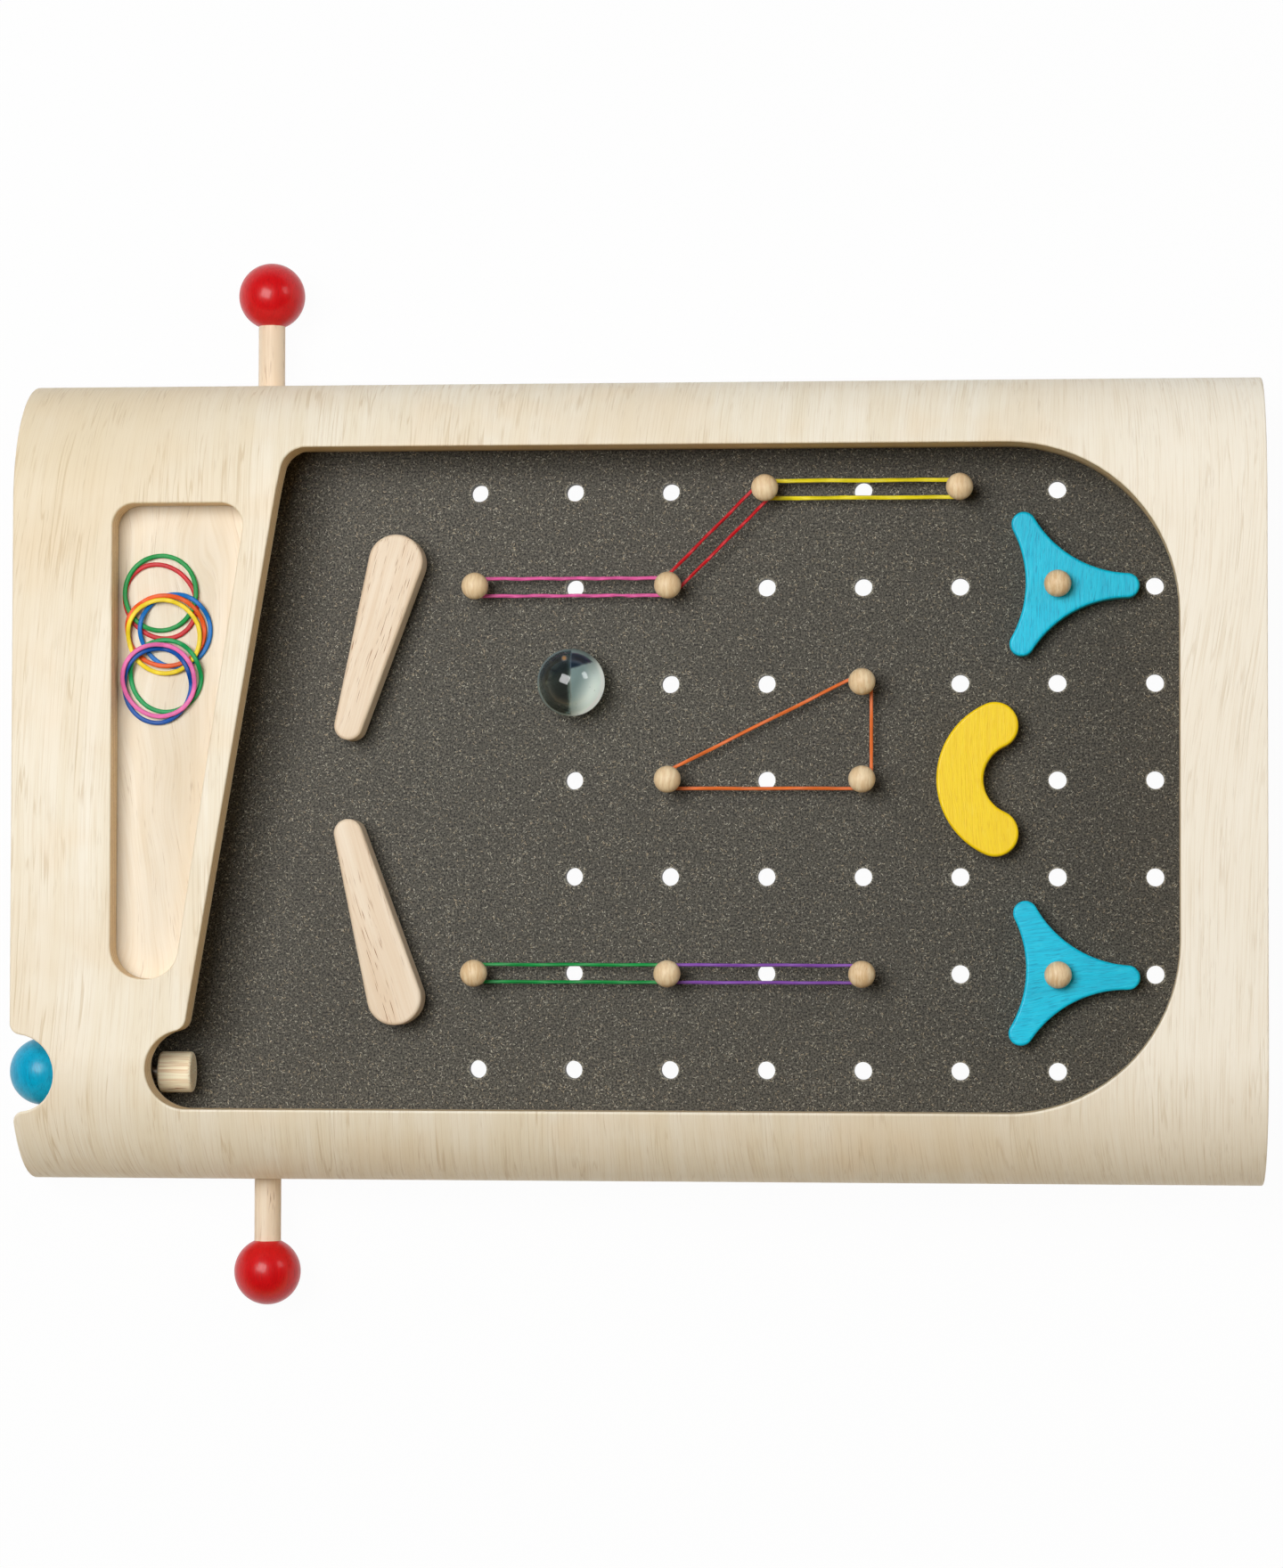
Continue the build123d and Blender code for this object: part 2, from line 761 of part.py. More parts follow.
def peg(neck_radius):
    """A turned peg standing at the zero point: shank, neck and round head."""
    foot = -playfield_thickness - peg_shank_below
    head_start = peg_head_height - sqrt(peg_head_radius**2 - neck_radius**2)
    head_top = peg_head_height + peg_head_radius
    profile = [(0, head_top), (0, foot), (peg_shank_radius, foot)]
    if neck_radius < peg_shank_radius:
        profile.append((peg_shank_radius, peg_neck_start))
        profile.append((neck_radius, peg_neck_start + peg_shank_radius - neck_radius))
    profile.append((neck_radius, head_start))
    with BuildPart() as turned:
        with BuildSketch(Plane.XZ):
            with BuildLine():
                Polyline(*profile)
                ThreePointArc(profile[-1], (peg_head_radius, peg_head_height), profile[0])
            make_face()
        revolve(axis=Axis.Z)
    return turned.part


band_peg = peg(peg_neck_radius)
band_peg_holes = sorted({hole for holes, height in stretched_bands.values() for hole in holes})
with BuildPart(level(0)) as band_pegs:
    with Locations([hole_place(*hole) for hole in band_peg_holes]):
        add(band_peg)
finish(band_pegs, "band_pegs")

spinner_peg = peg(peg_shank_radius)
spinner_places = [hole_place(spinner_column, row) for row in spinner_rows]
with BuildPart(level(0)) as spinner_pegs:
    with Locations(spinner_places):
        add(spinner_peg)
finish(spinner_pegs, "spinner_pegs")


def round_places(places, radius):
    """Outline pulled tight round circles of one radius."""
    with BuildSketch() as outline:
        with Locations(places):
            Circle(radius)
        make_hull()
    return outline.sketch


def stretched_band(name, holes, height):
    """A square-cut rubber band pulled tight round the necks of two or three pegs."""
    places = [hole_place(*hole) for hole in holes]
    inside = peg_neck_radius + band_gap
    with BuildPart() as band:
        extrude(placed(round_places(places, inside + band_thickness), height), amount=band_thickness)
        extrude(placed(round_places(places, inside), height), amount=band_thickness, mode=Mode.SUBTRACT)
    finish(band, name)


for name, (holes, height) in stretched_bands.items():
    stretched_band(name, holes, height)


def spinner_outline():
    """Round-ended arms joined by hollow arcs that run into them smoothly."""
    arm = spinner_reach - spinner_tip_radius
    web = spinner_waist - spinner_tip_radius
    half_turn = 180 / spinner_arms
    hollow_reach = (arm**2 - web**2) / (2 * (arm * cos(radians(half_turn)) - web))
    tip = Vector(arm, 0)
    hollow = Vector(hollow_reach, 0).rotate(Axis.Z, half_turn)
    touch_high = tip + (hollow - tip).normalized() * spinner_tip_radius
    touch_low = Vector(touch_high.X, -touch_high.Y)
    end = Vector(spinner_reach, 0)
    waist = Vector(spinner_waist, 0).rotate(Axis.Z, half_turn)
    next_touch = touch_low.rotate(Axis.Z, 2 * half_turn)
    with BuildSketch() as outline:
        with BuildLine():
            for index in range(spinner_arms):
                turn = 2 * half_turn * index
                ThreePointArc(*[p.rotate(Axis.Z, turn) for p in (touch_low, end, touch_high)])
                ThreePointArc(*[p.rotate(Axis.Z, turn) for p in (touch_high, waist, next_touch)])
        make_face()
        Circle(peg_shank_radius + spinner_play, mode=Mode.SUBTRACT)
    return outline.sketch


for name, (u, v), turn in zip(sides, spinner_places, spinner_turns):
    with BuildPart() as spinner:
        seat = level(spinner_lift).location * Location((u, v, 0), (0, 0, turn))
        extrude(seat * spinner_outline(), amount=spinner_thickness)
        rims = spinner.edges().filter_by(Plane(seat))
        rims = rims.filter_by(lambda edge: edge.radius != peg_shank_radius + spinner_play)
        fillet(rims, spinner_rounding)
    finish(spinner, f"spinner_{name}")

# Crescent, which turns on a hidden dowel
crescent_u, crescent_v = hole_place(crescent_column, crescent_row)
with BuildPart() as crescent:
    with BuildSketch(level(spinner_lift)):
        with BuildLine(mode=Mode.PRIVATE) as spine:
            CenterArc(
                (crescent_u + crescent_bend_radius, crescent_v),
                crescent_bend_radius,
                180 - crescent_half_angle,
                2 * crescent_half_angle,
            )
        SlotArc(spine.edges()[0], crescent_width)
    extrude(amount=crescent_thickness)
    fillet(crescent.edges().filter_by(level(0)), spinner_rounding)
    with BuildSketch(level(spinner_lift)):
        with Locations((crescent_u, crescent_v)):
            Circle(peg_shank_radius + spinner_play)
    extrude(amount=crescent_socket_depth, mode=Mode.SUBTRACT)
finish(crescent, "crescent")

with BuildPart() as crescent_pin:
    with BuildSketch(level(-playfield_thickness - peg_shank_below)):
        with Locations((crescent_u, crescent_v)):
            Circle(peg_shank_radius)
    extrude(amount=playfield_thickness + peg_shank_below + crescent_socket_depth)
finish(crescent_pin, "crescent_pin")

# Marble, parked at a hole of the grid
marble_u, marble_v = hole_place(marble_column, marble_row)
with BuildPart(Plane(board.from_local_coords((marble_u, marble_v, marble_radius + marble_lift)))) as marble:
    Sphere(marble_radius)
finish(marble, "marble")

# Loose bands, each lying on the one before
for under, (name, (from_front, from_left)) in enumerate(loose_bands.items()):
    lie = lane_height + loose_gap + under * (loose_thickness + loose_gap)
    with BuildPart() as loose_band:
        with BuildSketch(level(lie)):
            with Locations((from_front - tray_front, tray_left - from_left)):
                Circle(loose_ring_radius + loose_width / 2)
                Circle(loose_ring_radius - loose_width / 2, mode=Mode.SUBTRACT)
        extrude(amount=loose_thickness)
    finish(loose_band, name)
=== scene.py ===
"""Looks of the tabletop pinball game: camera, light, materials and rubber bands
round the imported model. Sizes are in metres, in the model's own frame."""
from math import atan2, cos, pi, radians, sin

import bmesh
import bpy
from mathutils import Matrix, Vector, noise


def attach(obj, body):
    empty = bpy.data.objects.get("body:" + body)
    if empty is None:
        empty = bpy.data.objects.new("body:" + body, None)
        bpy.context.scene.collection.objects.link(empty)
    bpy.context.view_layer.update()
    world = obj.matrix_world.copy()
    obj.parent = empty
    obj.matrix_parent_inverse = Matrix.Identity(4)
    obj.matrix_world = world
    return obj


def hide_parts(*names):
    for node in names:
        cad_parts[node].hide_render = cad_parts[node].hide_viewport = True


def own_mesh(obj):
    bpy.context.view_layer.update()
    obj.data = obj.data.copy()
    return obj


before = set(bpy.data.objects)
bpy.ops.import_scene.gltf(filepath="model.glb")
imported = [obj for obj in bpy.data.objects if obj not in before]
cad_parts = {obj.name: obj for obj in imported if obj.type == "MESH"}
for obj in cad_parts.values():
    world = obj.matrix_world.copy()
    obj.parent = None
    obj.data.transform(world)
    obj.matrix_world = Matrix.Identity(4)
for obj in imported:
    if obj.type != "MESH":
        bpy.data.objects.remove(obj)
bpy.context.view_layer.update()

mm = 0.001

# The playfield's plane, as in the source of the solids
slope = radians(5.5)
board_origin = Vector((77.1375, 0, 62.9974)) * mm
up_slope = Vector((cos(slope), 0, sin(slope)))
across = Vector((0, 1, 0))
off_board = Vector((-sin(slope), 0, cos(slope)))
board_turn = Matrix((up_slope, across, off_board)).transposed()
board_matrix = Matrix.Translation(board_origin) @ board_turn.to_4x4()

# Sizes of the solids that the looks follow
peg_pitch = 43 * mm
grid_columns = 8
grid_rows = 7
grid_half_length = (grid_columns - 1) / 2 * peg_pitch
grid_half_width = (grid_rows - 1) / 2 * peg_pitch
deck_height = 46 * mm
ply = 15 * mm
ply_layers = 9
bend_radius = 57 * mm
body_half_width = 179 * mm
lane_height = deck_height - ply
peg_neck_radius = 3 * mm
axle_from_middle = 186 * mm
axle_from_centre_line = 97 * mm
spinner_column = 6
spinner_rows = (1, 5)
marble_hole = (1, 2)
marble_radius = 15 * mm
marble_height = 15.05 * mm


def on_board(u, v, h):
    """Point of the row frame at a board point in metres."""
    return board_matrix @ Vector((u, v, h))


def hole_place(column, row):
    """Board position of a peg hole."""
    return Vector((
        (column - (grid_columns - 1) / 2) * peg_pitch,
        ((grid_rows - 1) / 2 - row) * peg_pitch,
    ))


def add_object(name, data):
    """A new object in the scene."""
    made = bpy.data.objects.new(name, data)
    bpy.context.scene.collection.objects.link(made)
    return made


# Camera, nearly square to the playfield: its place on the board and its turns about x, y and z
image_height = 1760
focal_pixels = 5000
sensor_width = 36
camera_place = (96.46 * mm, -67.82 * mm, 1978.2 * mm)
camera_angles = (radians(-1.91), radians(-5.02), radians(-0.12))


def make_camera():
    data = bpy.data.cameras.new("photo_view")
    data.sensor_width = sensor_width
    data.lens = sensor_width * focal_pixels / image_height
    data.clip_start = 0.05
    data.clip_end = 50
    made = add_object("photo_view", data)
    tilt_x, tilt_y, roll = camera_angles
    seen = Matrix.Rotation(roll, 3, "Z") @ Matrix.Rotation(tilt_x, 3, "X")
    seen = seen @ Matrix.Rotation(tilt_y, 3, "Y")
    made.matrix_world = Matrix.Translation(on_board(*camera_place)) @ (
        board_turn @ seen.transposed()
    ).to_4x4()
    bpy.context.scene.camera = made


make_camera()


# Helpers for colours and node trees

def srgb(red, green, blue):
    """A colour written as on a screen, 0 to 255, as Blender's linear colour."""
    def linear(value):
        share = value / 255
        return share / 12.92 if share <= 0.04045 else ((share + 0.055) / 1.055) ** 2.4
    return (linear(red), linear(green), linear(blue), 1)


def dimmed(colour, share):
    """A colour made darker, or paler where the share is over 1."""
    return tuple(min(1, share * channel) for channel in colour[:3]) + (1,)


class Tree:
    """The node tree of a material or of the world, filled by short calls."""

    def __init__(self, owner):
        self.owner = owner
        self.owner.use_nodes = True
        self.tree = self.owner.node_tree
        self.tree.nodes.clear()

    def put(self, kind, inputs=None, **settings):
        """A new node; its inputs are plain values or other nodes' outputs."""
        node = self.tree.nodes.new(kind)
        for name, value in settings.items():
            setattr(node, name, value)
        for key, value in (inputs or {}).items():
            socket = node.inputs[key]
            if isinstance(value, bpy.types.NodeSocket):
                self.tree.links.new(value, socket)
            else:
                socket.default_value = value
        return node

    def math(self, operation, first, second=0.0):
        return self.put("ShaderNodeMath", {0: first, 1: second}, operation=operation).outputs[0]

    def plus(self, first, second):
        return self.math("ADD", first, second)

    def minus(self, first, second):
        return self.math("SUBTRACT", first, second)

    def times(self, first, second):
        return self.math("MULTIPLY", first, second)

    def larger(self, first, second):
        return self.math("MAXIMUM", first, second)

    def size(self, value):
        return self.math("ABSOLUTE", value)

    def off_half(self, value):
        """How far a value lies from one half."""
        return self.size(self.minus(value, 0.5))

    def sway(self, value, amount):
        """A noise between 0 and 1 as a push to either side."""
        return self.times(self.minus(value, 0.5), amount)

    def length(self, first, second):
        """Length of a flat vector with these two parts."""
        squares = self.plus(self.math("POWER", first, 2.0), self.math("POWER", second, 2.0))
        return self.math("SQRT", squares)

    def vector(self, operation, first, second=(0, 0, 0)):
        node = self.put("ShaderNodeVectorMath", {0: first, 1: second}, operation=operation)
        gives_number = operation in ("DISTANCE", "LENGTH", "DOT_PRODUCT")
        return node.outputs["Value" if gives_number else "Vector"]

    def scaled(self, vector, scale):
        return self.vector("MULTIPLY", vector, scale)

    def split(self, vector):
        node = self.put("ShaderNodeSeparateXYZ", {0: vector})
        return node.outputs[0], node.outputs[1], node.outputs[2]

    def join(self, x, y, z):
        return self.put("ShaderNodeCombineXYZ", {0: x, 1: y, 2: z}).outputs[0]

    def noise(self, vector, scale=1.0, detail=3.0, roughness=0.55):
        """Noise of one scale, or of three, along x, y and z."""
        if isinstance(scale, tuple):
            vector = self.scaled(vector, scale)
            scale = 1.0
        node = self.put("ShaderNodeTexNoise", {
            "Vector": vector, "Scale": scale, "Detail": detail, "Roughness": roughness,
        })
        return node.outputs["Fac"]

    def cells(self, vector):
        """Distance to the middle of the point's flat cell, and the cell's own number."""
        node = self.put(
            "ShaderNodeTexVoronoi", {"Vector": vector, "Scale": 1.0}, voronoi_dimensions="2D",
        )
        return node.outputs["Distance"], self.split(node.outputs["Color"])[0]

    def ramp(self, value, low, high, from_value=0.0, to_value=1.0, curve="SMOOTHSTEP"):
        """Value led from one number to another between low and high."""
        return self.put("ShaderNodeMapRange", {
            "Value": value, "From Min": low, "From Max": high,
            "To Min": from_value, "To Max": to_value,
        }, interpolation_type=curve).outputs[0]

    def mix(self, share, first, second):
        """The first colour, with a share of the second in its place."""
        node = self.put("ShaderNodeMix", {0: share, 6: first, 7: second}, data_type="RGBA")
        return node.outputs[2]

    def board_point(self):
        """Board coordinates of the shaded point, in metres, which move with its body."""
        place = self.put("ShaderNodeTexCoord").outputs["Object"]
        return self.put("ShaderNodeMapping", {
            "Vector": place, "Location": board_origin, "Rotation": (0, -slope, 0),
        }, vector_type="TEXTURE").outputs[0]

    def turned(self, vector, middle, angle):
        """Coordinates about a middle, with x along the direction at an angle from up the slope."""
        return self.put("ShaderNodeMapping", {
            "Vector": vector, "Location": middle, "Rotation": (0, 0, angle),
        }, vector_type="TEXTURE").outputs[0]

    def seeded(self, vector, seed):
        """The same place in a piece of wood of its own."""
        return self.vector("ADD", vector, (seed * 0.37, seed * 0.91, seed * 0.53))

    def bump(self, height, distance, strength=1.0):
        return self.put("ShaderNodeBump", {
            "Height": height, "Distance": distance, "Strength": strength,
        }).outputs[0]

    def finish(self, shader, kind="ShaderNodeOutputMaterial"):
        """The material or world with this shader as its surface."""
        self.put(kind, {0: shader.outputs[0]})
        return self.owner

    def surface(self, inputs):
        """The finished material; inputs are the shader's own sockets."""
        return self.finish(self.put("ShaderNodeBsdfPrincipled", inputs))


def new_tree(name):
    """The empty tree of a new material."""
    return Tree(bpy.data.materials.new(name))


# Materials of wood and board

def grain_layers(tree, grain, seed, tones, fibre, pores, swirl):
    """Colour and relief of sanded wood. Grain has x along the fibres, which wander by swirl."""
    light, mid, dark, pore = tones
    place = tree.seeded(grain, seed)
    wander = tree.noise(place, (9, 14, 14), detail=2)
    shifted = tree.vector("ADD", place, tree.join(0.0, tree.times(wander, swirl), 0.0))
    streaks = tree.noise(shifted, (6, 160, 160), detail=5, roughness=0.6)
    fine = tree.noise(shifted, (28, 1300, 1300), detail=3, roughness=0.6)
    clouds = tree.noise(place, (11, 34, 34), detail=2)
    dashes = tree.noise(shifted, (95, 2100, 2100), detail=1)
    where = tree.noise(shifted, (14, 210, 210), detail=2)
    colour = tree.mix(tree.ramp(streaks, 0.36, 0.66), mid, light)
    colour = tree.mix(tree.ramp(clouds, 0.45, 0.75, 0.0, 0.45), colour, dark)
    colour = tree.mix(tree.ramp(fine, 0.42, 0.72, 0.0, 0.28 * fibre), colour, dark)
    marks = tree.times(tree.ramp(dashes, 0.6, 0.72), tree.ramp(where, 0.48, 0.62))
    marks = tree.times(marks, 0.75 * pores)
    colour = tree.mix(marks, colour, pore)
    relief = tree.minus(fine, tree.times(marks, 1.6))
    return colour, relief


def shell_depth(tree, board):
    """How deep the shaded point lies below the outer face of the bent sheet, in metres."""
    u, v, h = tree.split(board)
    side = tree.minus(tree.size(v), body_half_width - bend_radius)
    rise = tree.minus(h, deck_height - bend_radius)
    corner = tree.length(tree.larger(side, 0.0), tree.larger(rise, 0.0))
    inside = tree.math("MINIMUM", tree.larger(side, rise), 0.0)
    return tree.minus(bend_radius, tree.plus(corner, inside))


def face_veneer(tree, board):
    """Colour of the pale face veneer, its fine grain and the marks that lie in it."""
    u, v, h = tree.split(board)
    # The grain runs across the body, a little aslant towards the left side
    slant = tree.ramp(v, -0.1, 0.12, 0.0, 0.09)
    lean = tree.times(tree.plus(v, h), slant)
    swing = tree.sway(tree.noise(board, (6, 4, 4), detail=1), 0.035)
    place = tree.join(tree.plus(tree.minus(u, lean), swing), v, h)
    streaks = tree.noise(place, (120, 5, 5), detail=4, roughness=0.55)
    clouds = tree.noise(board, (13, 17, 17), detail=3)
    warm = tree.noise(board, (31, 23, 23), detail=2)
    fine = tree.noise(place, (1500, 26, 26), detail=3, roughness=0.6)
    vein = tree.off_half(tree.noise(place, (340, 12, 12), detail=1.5, roughness=0.45))
    broken = tree.noise(place, (75, 34, 34), detail=2)
    veins = tree.times(tree.ramp(vein, 0.006, 0.03, 1.0, 0.0), tree.ramp(broken, 0.44, 0.62))
    dashes = tree.noise(place, (1900, 90, 90), detail=1)
    where = tree.noise(place, (110, 25, 25), detail=2)
    pores = tree.times(tree.ramp(dashes, 0.6, 0.72), tree.ramp(where, 0.46, 0.62))
    colour = tree.mix(tree.ramp(streaks, 0.3, 0.7), srgb(240, 228, 204), srgb(246, 237, 219))
    colour = tree.mix(tree.ramp(clouds, 0.42, 0.72, 0.0, 0.55), colour, srgb(235, 217, 188))
    colour = tree.mix(tree.ramp(warm, 0.5, 0.75, 0.0, 0.4), colour, srgb(242, 221, 190))
    # Painted shade makes it darker at the front left corner, and painted light makes it paler
    # towards the back
    corner = tree.vector("DISTANCE", board, (-0.35, 0.17, 0.0))
    colour = tree.mix(tree.ramp(corner, 0.05, 0.16, 0.6, 0.0), colour, srgb(226, 206, 170))
    colour = tree.mix(tree.ramp(u, 0.06, 0.18, 0.0, 0.8), colour, srgb(252, 243, 226))
    colour = tree.mix(tree.ramp(fine, 0.44, 0.76, 0.0, 0.36), colour, srgb(214, 190, 152))
    veined = tree.times(veins, tree.ramp(u, -0.33, 0.1, 0.4, 0.24))
    colour = tree.mix(veined, colour, srgb(198, 170, 128))
    colour = tree.mix(tree.times(pores, 0.17), colour, srgb(176, 142, 100))
    return colour, fine, tree.larger(pores, veins)


def cut_edge(tree, board, depth):
    """Colour of the plies on a cut edge."""
    layers = tree.math("DIVIDE", depth, ply / ply_layers)
    ripple = tree.noise(board, (60, 60, 60), detail=2)
    layers = tree.plus(layers, tree.sway(ripple, 0.3))
    wave = tree.off_half(tree.math("FRACT", tree.times(layers, 0.5)))
    cross = tree.ramp(wave, 0.22, 0.28)
    rough = tree.noise(board, (700, 700, 900), detail=3, roughness=0.7)
    edge = tree.mix(cross, srgb(240, 216, 176), srgb(222, 192, 148))
    edge = tree.mix(tree.ramp(rough, 0.45, 0.75, 0.0, 0.4), edge, srgb(184, 146, 100))
    glue = tree.off_half(tree.math("FRACT", layers))
    return tree.mix(tree.ramp(glue, 0.46, 0.5, 0.0, 0.4), edge, srgb(150, 112, 74))


def shell_material():
    """Bent plywood: pale face veneer, and plies on cut edges."""
    tree = new_tree("bent_plywood")
    board = tree.board_point()
    colour, fine, marks = face_veneer(tree, board)
    depth = shell_depth(tree, board)
    edge = cut_edge(tree, board, depth)
    below_face = tree.ramp(depth, 0.8 * mm, 1.5 * mm)
    above_back = tree.ramp(depth, 14.2 * mm, 14.9 * mm, 1.0, 0.0)
    return tree.surface({
        "Base Color": tree.mix(tree.times(below_face, above_back), colour, edge),
        "Roughness": tree.ramp(fine, 0.3, 0.8, 0.46, 0.58),
        "Normal": tree.bump(tree.minus(tree.times(fine, 0.5), marks), 0.00005),
        "Specular IOR Level": 0.3,
    })


def hole_numbers(tree, u, v):
    """A place counted in holes, from the first column and from the row at the right side."""
    return (
        tree.math("DIVIDE", tree.plus(u, grid_half_length), peg_pitch),
        tree.math("DIVIDE", tree.plus(v, grid_half_width), peg_pitch),
    )


def hole_ring(tree, board):
    """1 beside the edge of a drilled hole, 0 elsewhere."""
    inner, outer = 3.9 * mm, 5.1 * mm
    u, v, h = tree.split(board)
    column, row = hole_numbers(tree, u, v)
    off_column = tree.minus(column, tree.math("ROUND", column))
    off_row = tree.minus(row, tree.math("ROUND", row))
    away = tree.length(off_column, off_row)
    ring = tree.ramp(away, inner / peg_pitch, outer / peg_pitch, 1.0, 0.0)
    # Plain: the first column's three middle rows and the last column's outer rows, which have
    # no holes, and the hole under the marble
    last = grid_columns - 1
    no_front = tree.times(
        tree.math("LESS_THAN", column, 0.5),
        tree.math("LESS_THAN", tree.size(v), 1.5 * peg_pitch),
    )
    no_back = tree.times(
        tree.math("GREATER_THAN", column, last - 0.5),
        tree.math("GREATER_THAN", tree.size(v), 2.5 * peg_pitch),
    )
    inside = tree.times(
        tree.math("LESS_THAN", column, last + 0.5), tree.math("GREATER_THAN", column, -0.5),
    )
    marble_u, marble_v = hole_place(*marble_hole)
    own = tree.vector("DISTANCE", tree.join(u, v, 0.0), (marble_u, marble_v, 0))
    kept = tree.minus(inside, tree.plus(no_front, no_back))
    kept = tree.times(kept, tree.math("GREATER_THAN", own, peg_pitch / 2))
    return tree.times(ring, tree.larger(kept, 0.0))


def playfield_material():
    """Dark pressed fibre board, strewn with short pale fibres and specks."""
    tree = new_tree("dark_fibre_board")
    board = tree.board_point()
    u, v, h = tree.split(board)
    face = tree.ramp(h, -0.9 * mm, -0.3 * mm)
    soft = tree.noise(board, (14, 14, 14), detail=3)
    grit = tree.noise(board, (1150, 1150, 1150), detail=3, roughness=0.75)
    colour = tree.mix(tree.ramp(grit, 0.37, 0.65), srgb(14, 13, 10), srgb(108, 103, 90))
    colour = tree.mix(tree.ramp(soft, 0.35, 0.65, 0.15, 0.0), colour, srgb(50, 45, 36))
    for index, angle in enumerate((0.2, 0.8, 1.3, 1.9, 2.4, 2.9)):
        lying = tree.turned(board, (0.013 * index, 0.007 * index, 0), angle)
        away, pick = tree.cells(tree.scaled(lying, (440, 2400, 0)))
        fibre = tree.times(tree.ramp(away, 0.2, 0.34, 1.0, 0.0), tree.ramp(pick, 0.965, 1.0))
        tone = srgb(196, 190, 168) if index % 2 else srgb(184, 166, 134)
        colour = tree.mix(tree.times(fibre, face), colour, tone)
    for fineness, rare in ((1100, 0.95), (1600, 0.93)):
        away, pick = tree.cells(tree.scaled(board, (fineness, fineness, 0)))
        speck = tree.times(tree.ramp(away, 0.2, 0.36, 1.0, 0.0), tree.ramp(pick, rare, 1.0))
        speck = tree.times(speck, tree.times(face, 0.8))
        colour = tree.mix(speck, colour, srgb(186, 182, 166))
    # Painted shade: darker towards the back, standing in for the lamp's sheen that fades there
    colour = tree.mix(tree.ramp(u, -0.12, 0.18, 0.0, 0.16), colour, srgb(16, 15, 12))
    ring = tree.times(hole_ring(tree, board), tree.ramp(grit, 0.4, 0.62))
    colour = tree.mix(ring, colour, srgb(176, 170, 152))
    return tree.surface({
        "Base Color": colour,
        "Roughness": tree.ramp(grit, 0.3, 0.7, 0.62, 0.5),
        "Normal": tree.bump(grit, 0.00004),
        "Specular IOR Level": 0.28,
    })


def bare_wood(name, middle, angle, seed, tones, fibre=1.0, pores=1.0, swirl=0.012):
    """Sanded bare wood with its grain along a direction of the board."""
    tree = new_tree(name)
    grain = tree.turned(tree.board_point(), middle, angle)
    colour, relief = grain_layers(tree, grain, seed, tones, fibre, pores, swirl)
    return tree.surface({
        "Base Color": colour,
        "Roughness": tree.ramp(relief, 0.2, 0.8, 0.44, 0.56),
        "Normal": tree.bump(relief, 0.00005),
        "Specular IOR Level": 0.35,
    })


def turned_wood(name):
    """Round-headed pegs, each with its own piece of grain running up the peg."""
    tree = new_tree(name)
    board = tree.board_point()
    u, v, h = tree.split(board)
    column, row = hole_numbers(tree, u, v)
    cell = tree.join(tree.math("ROUND", column), tree.math("ROUND", row), 0.0)
    own = tree.put("ShaderNodeTexWhiteNoise", {"Vector": cell}, noise_dimensions="3D")
    place = tree.vector("ADD", board, tree.scaled(own.outputs["Color"], (0.9, 0.9, 0.9)))
    warp = tree.noise(place, (60, 60, 60), detail=2)
    lines = tree.vector("ADD", place, tree.join(tree.times(warp, 0.004), 0.0, 0.0))
    rings = tree.noise(lines, (780, 120, 120), detail=3, roughness=0.55)
    fine = tree.noise(lines, (2600, 500, 500), detail=2)
    clouds = tree.noise(place, (120, 120, 120), detail=2)
    colour = tree.mix(tree.ramp(rings, 0.35, 0.66), srgb(224, 188, 140), srgb(246, 222, 182))
    colour = tree.mix(tree.ramp(clouds, 0.4, 0.7, 0.0, 0.45), colour, srgb(216, 178, 128))
    colour = tree.mix(tree.ramp(fine, 0.52, 0.74, 0.0, 0.4), colour, srgb(186, 142, 92))
    paler = tree.ramp(own.outputs["Value"], 0.0, 1.0, 0.0, 0.3)
    colour = tree.mix(paler, colour, srgb(250, 230, 194))
    return tree.surface({
        "Base Color": colour,
        "Roughness": tree.ramp(fine, 0.3, 0.8, 0.42, 0.55),
        "Normal": tree.bump(fine, 0.00004),
        "Specular IOR Level": 0.4,
    })


def painted_wood(name, middle, angle, seed, tones, grain_share, roughness, coat):
    """Paint over wood, through which the grain shows."""
    paint, deep, pale = tones
    tree = new_tree(name)
    place = tree.seeded(tree.turned(tree.board_point(), middle, angle), seed)
    wander = tree.noise(place, (20, 30, 30), detail=2)
    shifted = tree.vector("ADD", place, tree.join(0.0, tree.times(wander, 0.006), 0.0))
    streaks = tree.noise(shifted, (30, 760, 760), detail=4, roughness=0.65)
    fine = tree.noise(shifted, (160, 2000, 2000), detail=2)
    mottle = tree.noise(shifted, (150, 900, 900), detail=3, roughness=0.65)
    colour = tree.mix(tree.ramp(streaks, 0.34, 0.56, 0.9 * grain_share, 0.0), paint, deep)
    colour = tree.mix(tree.ramp(mottle, 0.5, 0.75, 0.0, grain_share), colour, pale)
    colour = tree.mix(tree.ramp(fine, 0.52, 0.68, 0.0, min(1, 1.8 * grain_share)), colour, deep)
    return tree.surface({
        "Base Color": colour,
        "Roughness": tree.ramp(fine, 0.3, 0.8, roughness - 0.05, roughness + 0.07),
        "Normal": tree.bump(tree.plus(streaks, fine), 0.00008, 0.8),
        "Specular IOR Level": 0.25,
        "Coat Weight": coat,
        "Coat Roughness": 0.12,
    })


# Other materials

def metal(name, colour, roughness, brushed):
    """Steel or brass with fine turning marks."""
    tree = new_tree(name)
    board = tree.board_point()
    marks = tree.noise(board, brushed, detail=3)
    stain = tree.noise(board, (90, 90, 90), detail=2)
    return tree.surface({
        "Base Color": tree.mix(tree.ramp(stain, 0.4, 0.7), colour, dimmed(colour, 0.82)),
        "Roughness": tree.ramp(marks, 0.3, 0.7, roughness - 0.06, roughness + 0.1),
        "Normal": tree.bump(marks, 0.00002),
        "Metallic": 1.0,
    })


